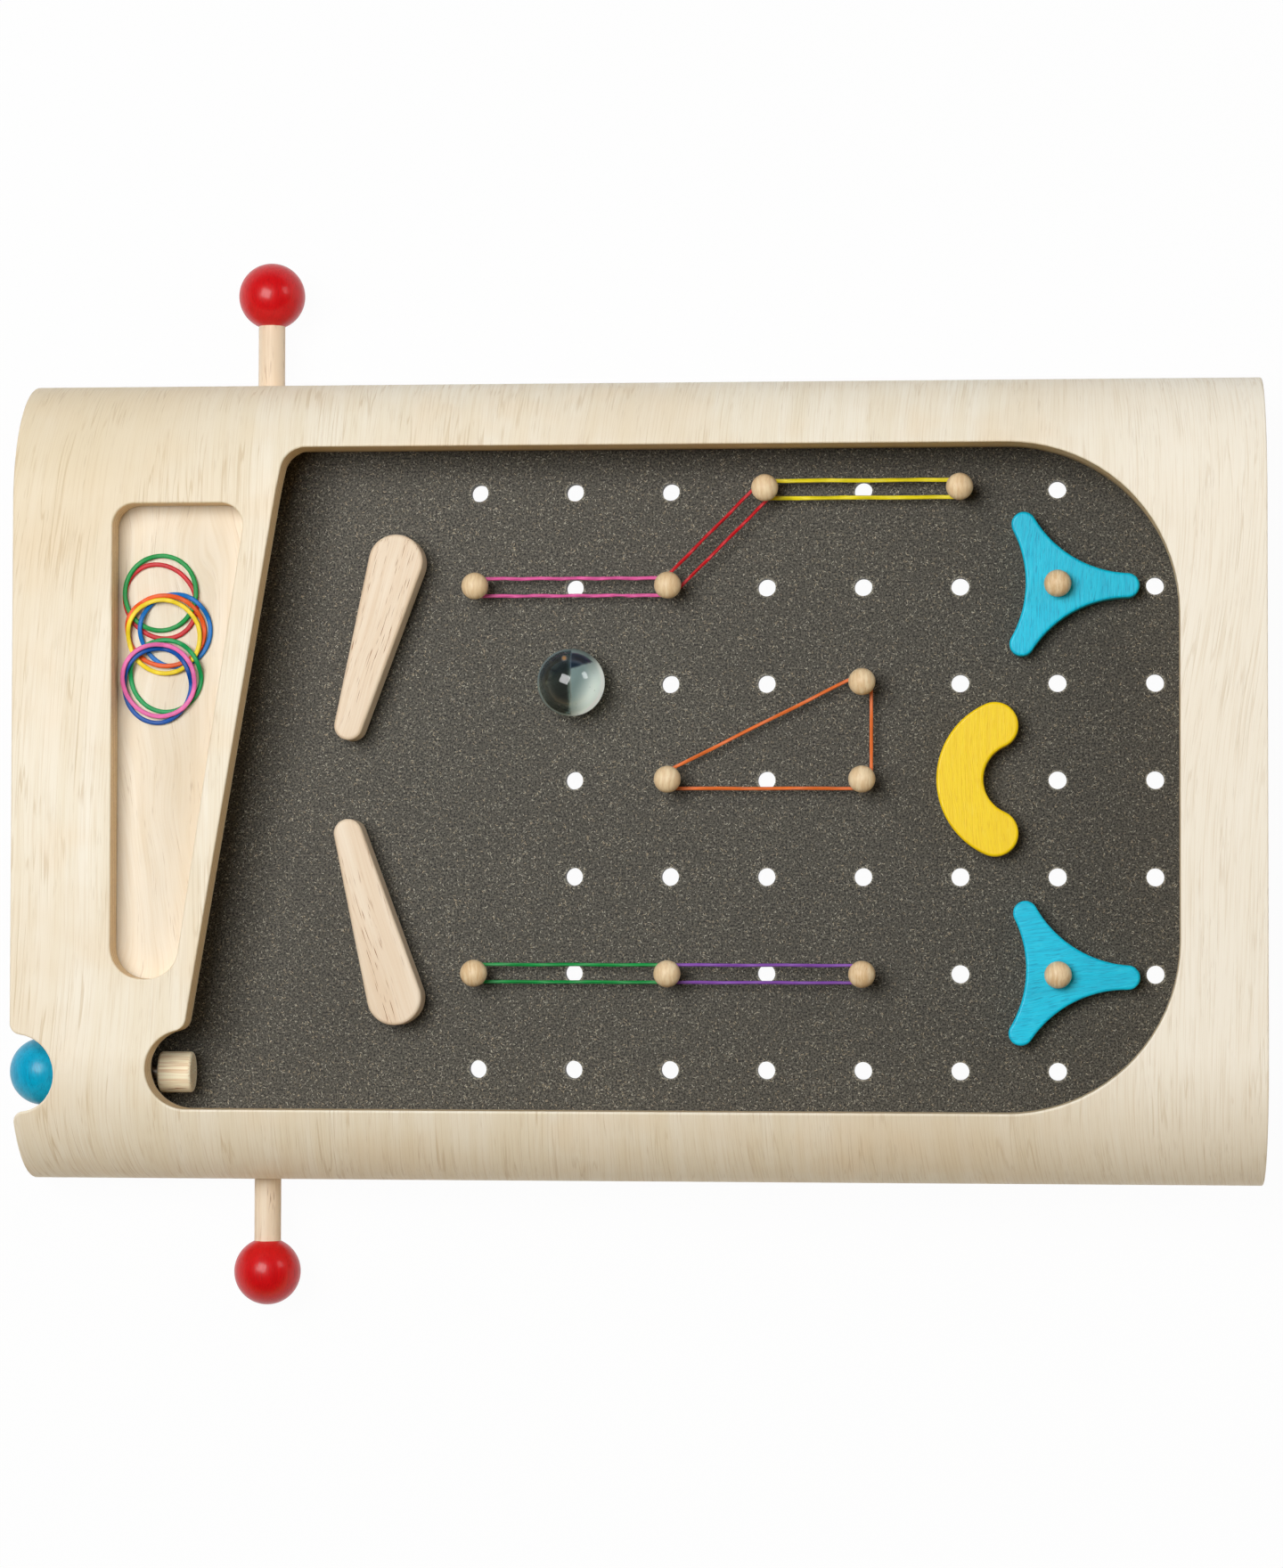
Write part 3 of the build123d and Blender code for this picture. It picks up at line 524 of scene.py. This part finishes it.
def felt(name, colour):
    """Pressed wool."""
    tree = new_tree(name)
    fuzz = tree.noise(tree.board_point(), (1800, 1800, 1800), detail=4, roughness=0.8)
    return tree.surface({
        "Base Color": tree.mix(tree.ramp(fuzz, 0.4, 0.65), colour, dimmed(colour, 1.5)),
        "Roughness": tree.ramp(fuzz, 0.3, 0.7, 0.85, 0.98),
        "Normal": tree.bump(fuzz, 0.0002),
        "Sheen Weight": 0.4,
    })


def moulded(name, colour):
    """Moulded plastic with a faint grain."""
    tree = new_tree(name)
    board = tree.board_point()
    grit = tree.noise(board, (900, 900, 900), detail=2)
    cloud = tree.noise(board, (70, 70, 70), detail=2)
    return tree.surface({
        "Base Color": tree.mix(cloud, colour, dimmed(colour, 0.9)),
        "Roughness": tree.ramp(grit, 0.3, 0.7, 0.34, 0.46),
        "Normal": tree.bump(grit, 0.00002),
        "Specular IOR Level": 0.5,
    })


def rubber(name, colour):
    """Dyed rubber with a faint bloom and cut marks."""
    tree = new_tree(name)
    board = tree.board_point()
    grit = tree.noise(board, (1600, 1600, 1600), detail=3, roughness=0.7)
    cloud = tree.noise(board, (140, 140, 140), detail=2)
    bloom = tuple(channel + 0.015 * (1 - channel) for channel in colour[:3]) + (1,)
    base = tree.mix(tree.ramp(cloud, 0.35, 0.7), dimmed(colour, 0.82), colour)
    return tree.surface({
        "Base Color": tree.mix(tree.ramp(grit, 0.5, 0.75), base, bloom),
        "Roughness": tree.ramp(grit, 0.3, 0.7, 0.36, 0.52),
        "Normal": tree.bump(grit, 0.00003),
        "Specular IOR Level": 0.3,
    })


def glass_material():
    """Faintly green glass, clear in one half and in the other painted pale with painted light and
    a painted glow below a cap of painted shade; its rim is painted pale as a reflection, an amber
    fleck is a painted reflection, and it has small bubbles.
    """
    tree = new_tree("marble_glass")
    board = tree.board_point()
    middle = (*hole_place(*marble_hole), marble_height)
    from_middle = tree.vector("SUBTRACT", board, middle)
    u, v, h = tree.split(tree.scaled(from_middle, (1 / marble_radius,) * 3))
    # The halves part along a plane that leans a little to the right and forwards
    beside = tree.minus(u, tree.times(h, 0.1))
    above = tree.plus(v, tree.times(h, 0.06))
    flat = tree.join(beside, above, 0.0)
    outside = tree.vector("LENGTH", flat)
    edge = tree.sway(tree.noise(board, (120, 120, 120), detail=3), 0.16)
    right = tree.ramp(tree.plus(beside, edge), -0.05, 0.03)
    # The right half is painted pale below a cap of painted shade, and the whole rim is painted
    # pale as a reflection
    cap = tree.minus(tree.plus(above, edge), tree.times(beside, 0.3))
    below_cap = tree.ramp(cap, 0.38, 0.46, 1.0, 0.0)
    painted_pale_share = tree.times(right, tree.larger(below_cap, tree.ramp(outside, 0.84, 0.9)))
    rim = tree.put("ShaderNodeLayerWeight", {"Blend": 0.5}).outputs["Facing"]
    painted_pale_share = tree.larger(painted_pale_share, tree.ramp(rim, 0.62, 0.74, 0.0, 0.85))
    dark = tree.times(right, tree.minus(1.0, painted_pale_share))
    # A painted reflection: an amber fleck near the top
    painted_amber_reflection = tree.vector("DISTANCE", flat, (-0.2, 0.72, 0))
    painted_amber_reflection = tree.times(
        tree.ramp(painted_amber_reflection, 0.02, 0.12, 0.8, 0.0), tree.math("GREATER_THAN", h, 0.0),
    )
    bubbles = tree.put("ShaderNodeTexVoronoi", {"Vector": board, "Scale": 500.0})
    picked = tree.ramp(tree.split(bubbles.outputs["Color"])[0], 0.84, 0.9)
    dots = tree.times(tree.ramp(bubbles.outputs["Distance"], 0.12, 0.2, 1.0, 0.0), picked)
    # Painted light: the pale half paler towards the lower right, brightest at the rim there
    painted_lighting = tree.ramp(tree.minus(beside, tree.times(above, 0.45)), 0.1, 1.0)
    pale = tree.mix(painted_lighting, srgb(128, 148, 146), srgb(224, 238, 232))
    painted_rim_light = tree.times(tree.ramp(outside, 0.84, 0.97), painted_lighting)
    pale = tree.mix(painted_rim_light, pale, srgb(244, 252, 246))
    pale = tree.mix(tree.times(dots, 0.5), pale, srgb(110, 122, 116))
    clear = tree.mix(dots, srgb(212, 224, 210), srgb(170, 188, 174))
    # Painted shade: the clear glass darker and bluer towards the cap
    clear = tree.mix(tree.ramp(cap, 0.2, 0.5), clear, srgb(120, 140, 160))
    # Painted shade: the right half dark where it is not painted pale
    colour = tree.mix(dark, tree.mix(painted_pale_share, clear, pale), srgb(34, 50, 66))
    colour = tree.mix(painted_amber_reflection, colour, srgb(204, 146, 58))
    painted_opaque_share = tree.larger(tree.larger(painted_pale_share, dark), painted_amber_reflection)
    return tree.surface({
        "Base Color": colour,
        "Roughness": 0.03,
        "Transmission Weight": tree.minus(1.0, painted_opaque_share),
        "Subsurface Weight": painted_opaque_share,
        "Subsurface Radius": (1.0, 1.0, 1.0),
        "Subsurface Scale": 5 * mm,
        # A painted glow in the pale half, stronger where the painted light is
        "Emission Color": pale,
        "Emission Strength": tree.times(painted_pale_share, tree.ramp(painted_lighting, 0.0, 1.0, 0.03, 0.36)),
        "IOR": 1.52,
        "Specular IOR Level": 0.9,
    })


# Tones of bare wood: light, middle, dark and the pores
wood_pore = srgb(160, 106, 64)
beech = (srgb(242, 225, 201), srgb(235, 213, 185), srgb(218, 186, 148), wood_pore)
# The striker's tones are paler than the beech, as painted light on a piece that sits in shade in
# the bay
painted_light_striker_wood = (srgb(255, 250, 222), srgb(255, 240, 206), srgb(210, 160, 104), wood_pore)
tray_wood = (srgb(242, 231, 211), srgb(236, 222, 198), srgb(220, 200, 166), srgb(170, 134, 92))
rail_wood = (srgb(226, 200, 160), srgb(212, 184, 142), srgb(190, 156, 112), srgb(136, 98, 62))
# Tones of paint: its own, a deep one and a pale one
red_paint = (srgb(210, 14, 20), srgb(178, 6, 12), srgb(216, 30, 30))
knob_paint = (srgb(0, 164, 204), srgb(0, 132, 172), srgb(0, 184, 222))
spinner_paint = (srgb(4, 202, 234), srgb(0, 162, 202), srgb(56, 218, 244))
crescent_paint = (srgb(254, 217, 12), srgb(238, 192, 4), srgb(255, 226, 70))
# Where grain is measured from, and its directions
board_middle = (0, 0, 0)
along = 0.0
sideways = radians(90)


def side_finishes(name, side):
    """The flipper and lever of one side; side is 1 for the left and -1 for the right."""
    made = {}
    axle = (-axle_from_middle, side * axle_from_centre_line, 0)
    made[f"flipper_{name}"] = bare_wood(
        f"flipper_wood_{name}", axle, side * radians(-106), 2.0 + side, beech, pores=1.25,
    )
    made[f"crank_arm_{name}"] = bare_wood(
        f"crank_wood_{name}", axle, radians(180), 5.0 + side, beech,
    )
    dowel = bare_wood(f"dowel_wood_{name}", board_middle, sideways, 11.0 + side, beech)
    for part in ("push_rod", "stop_collar", "rod_guide", "push_block"):
        made[f"{part}_{name}"] = dowel
    made[f"lever_ball_{name}"] = painted_wood(
        f"red_lacquer_{name}", board_middle, sideways, 1.0 + side, red_paint, 0.35, 0.34, 0.2,
    )
    return made


def finishes():
    """A material for every solid, by name."""
    made = {}
    made["shell"] = shell_material()
    made["playfield"] = playfield_material()
    made["tray_floor"] = bare_wood(
        "tray_board", (-285 * mm, 0, 0), radians(92), 4.0, tray_wood, 1.1, 0.5, 0.05,
    )
    rail = bare_wood("rail_wood", board_middle, along, 7.0, rail_wood)
    rail_across = bare_wood("rail_wood_across", board_middle, sideways, 9.0, rail_wood)
    for name in ("side_rail_left", "side_rail_right", "ledge_left", "ledge_right"):
        made[name] = rail
    for name in ("back_rail", "front_wall", "drain_rail", "front_batten"):
        made[name] = rail_across
    made.update(side_finishes("left", 1))
    made.update(side_finishes("right", -1))
    made["striker"] = bare_wood("painted_light_striker_wood", board_middle, along, 16.0, painted_light_striker_wood, 2.6, 1.8)
    pegs = turned_wood("peg_wood")
    for name in ("band_pegs", "spinner_pegs", "crescent_pin"):
        made[name] = pegs
    made["plunger_knob"] = painted_wood(
        "blue_lacquer", board_middle, sideways, 3.0, knob_paint, 0.45, 0.34, 0.14,
    )
    for name, row, angle in zip(("left", "right"), spinner_rows, (88, 8)):
        u, v = hole_place(spinner_column, row)
        made[f"spinner_{name}"] = painted_wood(
            f"spinner_blue_{name}", (u, v, 0), radians(angle), 6.0 + row, spinner_paint,
            0.5, 0.38, 0.08,
        )
    made["crescent"] = painted_wood(
        "crescent_yellow", board_middle, radians(92), 21.0, crescent_paint, 0.4, 0.38, 0.08,
    )
    steel = metal("turned_steel", srgb(200, 200, 198), 0.28, (900, 60, 60))
    for name in (
        "flipper_axle_left", "flipper_axle_right", "plunger_rod",
        "crank_pin_left", "crank_pin_right",
    ):
        made[name] = steel
    made["plunger_bush"] = metal("bush_brass", srgb(206, 176, 104), 0.3, (900, 60, 60))
    made["flipper_washers"] = moulded("washer_nylon", srgb(232, 230, 220))
    return made


rubber_colours = {
    "band_pink": srgb(238, 100, 170),
    "band_red": srgb(204, 14, 28),
    "band_yellow": srgb(248, 230, 30),
    "band_orange": srgb(240, 118, 48),
    "band_green": srgb(16, 150, 68),
    "band_purple": srgb(138, 80, 178),
    "loose_red": srgb(212, 26, 34),
    "loose_dark_blue": srgb(0, 84, 172),
    "loose_green": srgb(0, 154, 68),
    "loose_light_green": srgb(10, 160, 84),
    "loose_pink": srgb(242, 116, 182),
    "loose_blue": srgb(0, 116, 200),
    "loose_orange": srgb(240, 94, 18),
    "loose_yellow": srgb(255, 224, 40),
}

# Springs: body, joint, direction of the end that moves, and travel
springs = {
    "plunger_spring": ("plunger", "pull_plunger", up_slope, 12 * mm),
    "return_spring_left": ("lever_left", "push_lever_left", across, 20 * mm),
    "return_spring_right": ("lever_right", "push_lever_right", -across, 20 * mm),
}


def dress_solids():
    """Every solid that stays visible gets its finish."""
    made = finishes()
    for name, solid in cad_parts.items():
        if name in rubber_colours or name in springs or name in ("felt_washer", "marble"):
            continue
        for slot in solid.material_slots:
            slot.link = "OBJECT"
            slot.material = made[name]


dress_solids()


# Rubber bands

def tube_mesh(name, vertices, ring, reverse=False):
    """A closed smooth tube from rings of vertices; reverse turns its faces round."""
    count = len(vertices) // ring
    faces = []
    for index in range(count):
        start = index * ring
        onward = (index + 1) % count * ring
        for corner in range(ring):
            beside = (corner + 1) % ring
            face = (start + corner, start + beside, onward + beside, onward + corner)
            faces.append((face[0], face[3], face[2], face[1]) if reverse else face)
    mesh = bpy.data.meshes.new(name)
    mesh.from_pydata([tuple(v) for v in vertices], [], faces)
    mesh.polygons.foreach_set("use_smooth", [True] * len(faces))
    mesh.update()
    return mesh


def strip_mesh(name, points, turns, wide, thick, rounding):
    """A closed strip with a rounded four-sided section swept round points; turns twist it."""
    section = []
    for corner_x, corner_y in ((1, 1), (-1, 1), (-1, -1), (1, -1)):
        for step in range(3):
            angle = atan2(corner_y, corner_x) + radians(-45 + 45 * step)
            section.append((
                corner_x * (wide / 2 - rounding) + rounding * cos(angle),
                corner_y * (thick / 2 - rounding) + rounding * sin(angle),
            ))
    vertices = []
    count = len(points)
    for index, point in enumerate(points):
        onward = (points[(index + 1) % count] - points[index - 1]).normalized()
        side = off_board.cross(onward).normalized()
        up = onward.cross(side)
        turn = turns[index]
        axis_x = side * cos(turn) + up * sin(turn)
        axis_y = up * cos(turn) - side * sin(turn)
        vertices += [point + axis_x * x + axis_y * y for x, y in section]
    return tube_mesh(name, vertices, len(section))


def add_band(name, mesh, node):
    """A band's object in place of its solid."""
    made = add_object(name, mesh)
    mesh.materials.append(rubber(name + "_rubber", rubber_colours[node]))
    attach(made, "frame")
    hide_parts(node)


def pulled_outline(places, radius):
    """Points of a band pulled tight round circles, about a millimetre apart, anticlockwise."""
    arc_step, run_step = 0.8 * mm, 1.5 * mm
    centre = sum(places, Vector((0, 0))) / len(places)
    ordered = sorted(places, key=lambda p: atan2(p.y - centre.y, p.x - centre.x))
    points = []
    count = len(ordered)
    for index, place in enumerate(ordered):
        back = ordered[index - 1]
        onward = ordered[(index + 1) % count]
        into = (place - back).normalized()
        out = (onward - place).normalized()
        start = atan2(-into.x, into.y)
        sweep = (atan2(-out.x, out.y) - start) % (2 * pi)
        steps = max(3, round(sweep * radius / arc_step))
        for step in range(steps + 1):
            angle = start + sweep * step / steps
            points.append(place + Vector((cos(angle), sin(angle))) * radius)
        leave = points[-1]
        arrive = onward + Vector((out.y, -out.x)) * radius
        run = arrive - leave
        parts = max(2, round(run.length / run_step))
        points += [leave + run * part / parts for part in range(1, parts)]
    return points


# Stretched bands: holes of their pegs, height, slot, width, how far they twist in radians
# and over what length
band_height = 6.95 * mm
second_band_height = 9.15 * mm
stretched_bands = {
    "band_pink": (((0, 1), (2, 1)), band_height, "rubber_pink", 1.5 * mm, 1.0, 17 * mm),
    "band_red": (((2, 1), (3, 0)), second_band_height, "rubber_red", 1.4 * mm, 0.9, 24 * mm),
    "band_yellow": (((3, 0), (5, 0)), band_height, "rubber_yellow", 1.75 * mm, 0.7, 40 * mm),
    "band_orange": (
        ((2, 3), (4, 2), (4, 3)), band_height, "rubber_orange", 1.45 * mm, 0.6, 44 * mm,
    ),
    "band_green": (((0, 5), (2, 5)), band_height, "rubber_green", 1.45 * mm, 0.6, 36 * mm),
    "band_purple": (
        ((2, 5), (4, 5)), second_band_height, "rubber_purple", 1.35 * mm, 0.6, 36 * mm,
    ),
}
strip_thick = 1.0 * mm
strip_rounding = 0.25 * mm
strip_off_neck = 0.85 * mm  # from a peg's neck to the middle of the strip
held_near_peg = 5 * mm  # the strip lies flat on the peg up to here
freed_over = 8 * mm  # and twists fully this much further on
strip_sway = 0.12 * mm
strip_rise = 0.3 * mm
strip_unevenness = 55  # how many times it changes in a metre


def stretch_bands():
    """The bands between the pegs, as flat strips that twist on their way."""
    for number, (name, details) in enumerate(stretched_bands.items()):
        holes, height, slot, width, twist, length = details
        places = [hole_place(*hole) for hole in holes]
        outline = pulled_outline(places, peg_neck_radius + strip_off_neck)
        points = []
        turns = []
        run = 0.0
        for index, point in enumerate(outline):
            run += (point - outline[index - 1]).length if index else 0.0
            away = min((point - place).length for place in places)
            free = min(1, max(0, (away - held_near_peg) / freed_over))
            phase = 2 * pi * run / length + number
            seed = Vector((
                point.x * strip_unevenness + number * 7.3,
                point.y * strip_unevenness,
                number * 3.1,
            ))
            turns.append(free * twist * (sin(phase) + 0.6 * noise.noise(seed)))
            wave = free * strip_sway * sin(phase + 1) * min(1, twist)
            rise = free * strip_rise * noise.noise(seed * 0.7 + Vector((5, 5, 5)))
            points.append(on_board(point.x, point.y + wave, height + rise))
        mesh = strip_mesh(name + "_strip", points, turns, width, strip_thick, strip_rounding)
        add_band(name + "_strip", mesh, name)


stretch_bands()

# Loose bands from the lowest to the highest: slot, middle on the board, half length, half width
# and turn, in millimetres and degrees
loose_bands = {
    "loose_red": ("ring_red", (-288.9, 78.5), 17.3, 15.2, -50),
    "loose_green": ("ring_green", (-288.7, 82.3), 16.6, 15.9, 85),
    "loose_blue": ("ring_blue", (-282.1, 65.6), 16.1, 15.6, 100),
    "loose_orange": ("ring_orange", (-286.3, 65.4), 17.3, 15.6, -10),
    "loose_yellow": ("ring_yellow", (-286.9, 62.8), 16.5, 15.8, -50),
    "loose_light_green": ("ring_light_green", (-286.2, 45.4), 16.0, 15.7, 130),
    "loose_dark_blue": ("ring_dark_blue", (-289.8, 41.1), 16.5, 15.0, 80),
    "loose_pink": ("ring_pink", (-288.8, 43.4), 16.2, 15.8, -30),
}
ring_wide = 1.95 * mm
ring_thick = 1.2 * mm
ring_rounding = 0.4 * mm
ring_points = 120
ring_reach = ring_wide * 1.15  # rings whose middles come nearer than this lie on each other
off_floor = 0.05 * mm
off_ring = 0.08 * mm
drape = 9 * mm  # how far along a ring its rise to a crossing starts


def ring_outline(number, centre, half_long, half_wide, turn):
    """Flat outline of a loose band, a little uneven."""
    flat = []
    for index in range(ring_points):
        angle = 2 * pi * index / ring_points
        wobble = 1 + 0.012 * noise.noise(Vector((cos(angle), sin(angle), number * 5.7)))
        local = Vector((half_long * cos(angle), half_wide * sin(angle))) * mm * wobble
        local.rotate(Matrix.Rotation(radians(turn), 2))
        flat.append(centre + local)
    return flat


def ring_heights(flat, below, step):
    """Height of each point of a loose band that lies on the floor and over the rings below."""
    rest = lane_height + ring_thick / 2 + off_floor
    needed = []
    for point in flat:
        lift = rest
        for other, height in below:
            if (other - point).length < ring_reach:
                lift = max(lift, height + ring_thick + off_ring)
        needed.append(lift)
    heights = []
    for index in range(ring_points):
        best = rest
        for other in range(ring_points):
            gap = abs(index - other)
            gap = min(gap, ring_points - gap) * step
            if gap < drape and needed[other] > rest:
                ease = 0.5 + 0.5 * cos(pi * gap / drape)
                best = max(best, rest + (needed[other] - rest) * ease)
        heights.append(best)
    return [
        max(needed[index], sum(heights[(index + k) % ring_points] for k in range(-2, 3)) / 5)
        for index in range(ring_points)
    ]


def drop_bands():
    """The loose bands lie on the tray's floor and over each other."""
    below = []
    for number, (name, details) in enumerate(loose_bands.items()):
        slot, place, half_long, half_wide, turn = details
        flat = ring_outline(number, Vector(place) * mm, half_long, half_wide, turn)
        heights = ring_heights(flat, below, 2 * pi * half_long * mm / ring_points)
        below += list(zip(flat, heights))
        points = [on_board(p.x, p.y, h) for p, h in zip(flat, heights)]
        untwisted = [0.0] * ring_points
        mesh = strip_mesh(name + "_ring", points, untwisted, ring_wide, ring_thick, ring_rounding)
        add_band(name + "_ring", mesh, name)


drop_bands()


# Felt washer that the plunger's knob stops on
felt_place = (-326 * mm, -130.3 * mm, 15 * mm)
felt_bore = 3.2 * mm
felt_rim = 8.95 * mm
felt_thick = 2.45 * mm
felt_rounding = 0.7 * mm
felt_points = 96
felt_fuzz = 0.12 * mm


def lay_felt():
    """A fuzzy ring of felt against the front wall."""
    inner, outer = felt_bore + felt_rounding, felt_rim - felt_rounding
    low, high = felt_rounding, felt_thick - felt_rounding
    section = []
    for radius, depth, start in (
        (outer, low, -90), (outer, high, 0), (inner, high, 90), (inner, low, 180),
    ):
        for step in range(4):
            angle = radians(start + 30 * step)
            section.append((
                radius + felt_rounding * cos(angle), depth + felt_rounding * sin(angle),
            ))
    vertices = []
    for index in range(felt_points):
        angle = 2 * pi * index / felt_points
        for number, (radius, depth) in enumerate(section):
            pull = felt_fuzz * abs(noise.noise(Vector((index * 0.9, number * 1.7, 4.0))))
            is_outer = radius > (felt_bore + felt_rim) / 2
            from_axis = radius - pull if is_outer else radius + pull
            vertices.append(on_board(
                felt_place[0] - max(depth - pull, 0),
                felt_place[1] + from_axis * cos(angle),
                felt_place[2] + from_axis * sin(angle),
            ))
    mesh = tube_mesh("felt_ring", vertices, len(section), reverse=True)
    mesh.materials.append(felt("grey_felt", srgb(96, 94, 92)))
    made = add_object("felt_ring", mesh)
    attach(made, "frame")
    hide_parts("felt_washer")


lay_felt()


def blow_marble():
    """The marble as a finer sphere, which keeps highlights and what is seen through it whole."""
    mesh = bpy.data.meshes.new("glass_marble")
    ball = bmesh.new()
    place = Matrix.Translation(on_board(*hole_place(*marble_hole), marble_height))
    bmesh.ops.create_icosphere(ball, subdivisions=6, radius=marble_radius, matrix=place)
    ball.to_mesh(mesh)
    ball.free()
    mesh.polygons.foreach_set("use_smooth", [True] * len(mesh.polygons))
    mesh.materials.append(glass_material())
    made = add_object("glass_marble", mesh)
    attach(made, "marble")
    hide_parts("marble")


blow_marble()


def squeeze_springs():
    """Each spring as a copy of its solid, riding its body in place of the solid."""
    wire = metal("spring_wire", srgb(178, 178, 176), 0.32, (500, 500, 500))
    for name, (body, joint, way, travel) in springs.items():
        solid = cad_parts[name]
        mesh = solid.data.copy()
        mesh.materials.clear()
        mesh.materials.append(wire)
        made = add_object(name.replace("spring", "coil"), mesh)
        made.matrix_world = solid.matrix_world.copy()
        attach(made, body)
        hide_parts(name)
        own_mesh(made)


squeeze_springs()


# Floor and light
floor_half_width = 8.0
floor_sink = 0.2 * mm
cool_light = (0.78, 0.84, 0.9, 1)
warm_light = (1.34, 1.03, 0.54, 1)
softboxes = {  # place from the playfield's middle, size and power
    "left_softbox": ((-0.85, 0.36, 1.95), (1.1, 1.2), 41),
    "back_softbox": ((1.5, 0.8, 1.3), (0.8, 0.65), 7),
}


def make_floor():
    """A plain white floor that keeps a faint shadow. Seen through the marble it is darker, more so
    behind its right half, as painted shade."""
    tree = new_tree("floor_white")
    place = tree.put("ShaderNodeTexCoord").outputs["Object"]
    cloud = tree.noise(place, scale=3.0, detail=2)
    tone = tree.mix(cloud, (0.68, 0.68, 0.68, 1), (0.72, 0.72, 0.72, 1))
    path = tree.put("ShaderNodeLightPath")
    through = path.outputs["Is Transmission Ray"]
    seen = tree.larger(path.outputs["Is Glossy Ray"], through)
    seen = tree.larger(path.outputs["Is Camera Ray"], seen)
    x, y, z = tree.split(place)
    split_x = on_board(*hole_place(*marble_hole), 0).x - 2 * mm
    # Painted shade: seen through the marble the floor glows less, more so behind its right half
    painted_shade_under_marble = tree.ramp(x, split_x - 2 * mm, split_x + 2 * mm, 0.45, 0.97)
    strength = tree.minus(1.0, tree.times(through, painted_shade_under_marble))
    matt = tree.put("ShaderNodeBsdfDiffuse", {"Color": tone})
    glow = tree.put("ShaderNodeEmission", {"Color": (1, 1, 1, 1), "Strength": strength})
    mesh = bpy.data.meshes.new("floor")
    half = floor_half_width
    corners = [(-half, -half, 0), (half, -half, 0), (half, half, 0), (-half, half, 0)]
    mesh.from_pydata(corners, [], [(0, 1, 2, 3)])
    mesh.materials.append(tree.finish(tree.put("ShaderNodeMixShader", {
        0: tree.times(seen, 0.97), 1: matt.outputs[0], 2: glow.outputs[0],
    })))
    floor = add_object("floor", mesh)
    floor.location.z = -floor_sink


def make_world():
    """Soft light from low all round, more from the back, warmer from the right side."""
    tree = Tree(bpy.data.worlds.new("studio"))
    way = tree.put("ShaderNodeTexCoord").outputs["Generated"]
    x, y, z = tree.split(way)
    rightward = tree.vector("DOT_PRODUCT", way, (0.1, -1, 0))
    warmth = tree.ramp(rightward, -0.6, 0.8, curve="LINEAR")
    by_height = tree.ramp(z, 0.0, 0.5, 0.78, 0.03)
    by_depth = tree.ramp(x, -0.6, 1.0, 0.75, 1.7, curve="LINEAR")
    light = tree.put("ShaderNodeBackground", {
        "Color": tree.mix(warmth, cool_light, warm_light),
        "Strength": tree.times(by_height, by_depth),
    })
    backdrop = tree.put("ShaderNodeBackground", {"Strength": 1.0})
    to_camera = tree.put("ShaderNodeLightPath").outputs["Is Camera Ray"]
    both = tree.put("ShaderNodeMixShader", {
        0: to_camera, 1: light.outputs[0], 2: backdrop.outputs[0],
    })
    bpy.context.scene.world = tree.finish(both, "ShaderNodeOutputWorld")


def add_softbox(name, place, size, power):
    """A rectangular lamp that looks at the playfield's middle."""
    data = bpy.data.lights.new(name, "AREA")
    data.shape = "RECTANGLE"
    data.size, data.size_y = size
    data.energy = power
    made = add_object(name, data)
    made.location = board_origin + Vector(place)
    towards = board_origin - made.location
    made.rotation_euler = towards.to_track_quat("-Z", "Y").to_euler()


make_floor()
make_world()
for name, (place, size, power) in softboxes.items():
    add_softbox(name, place, size, power)
bpy.context.scene.view_settings.view_transform = "Standard"
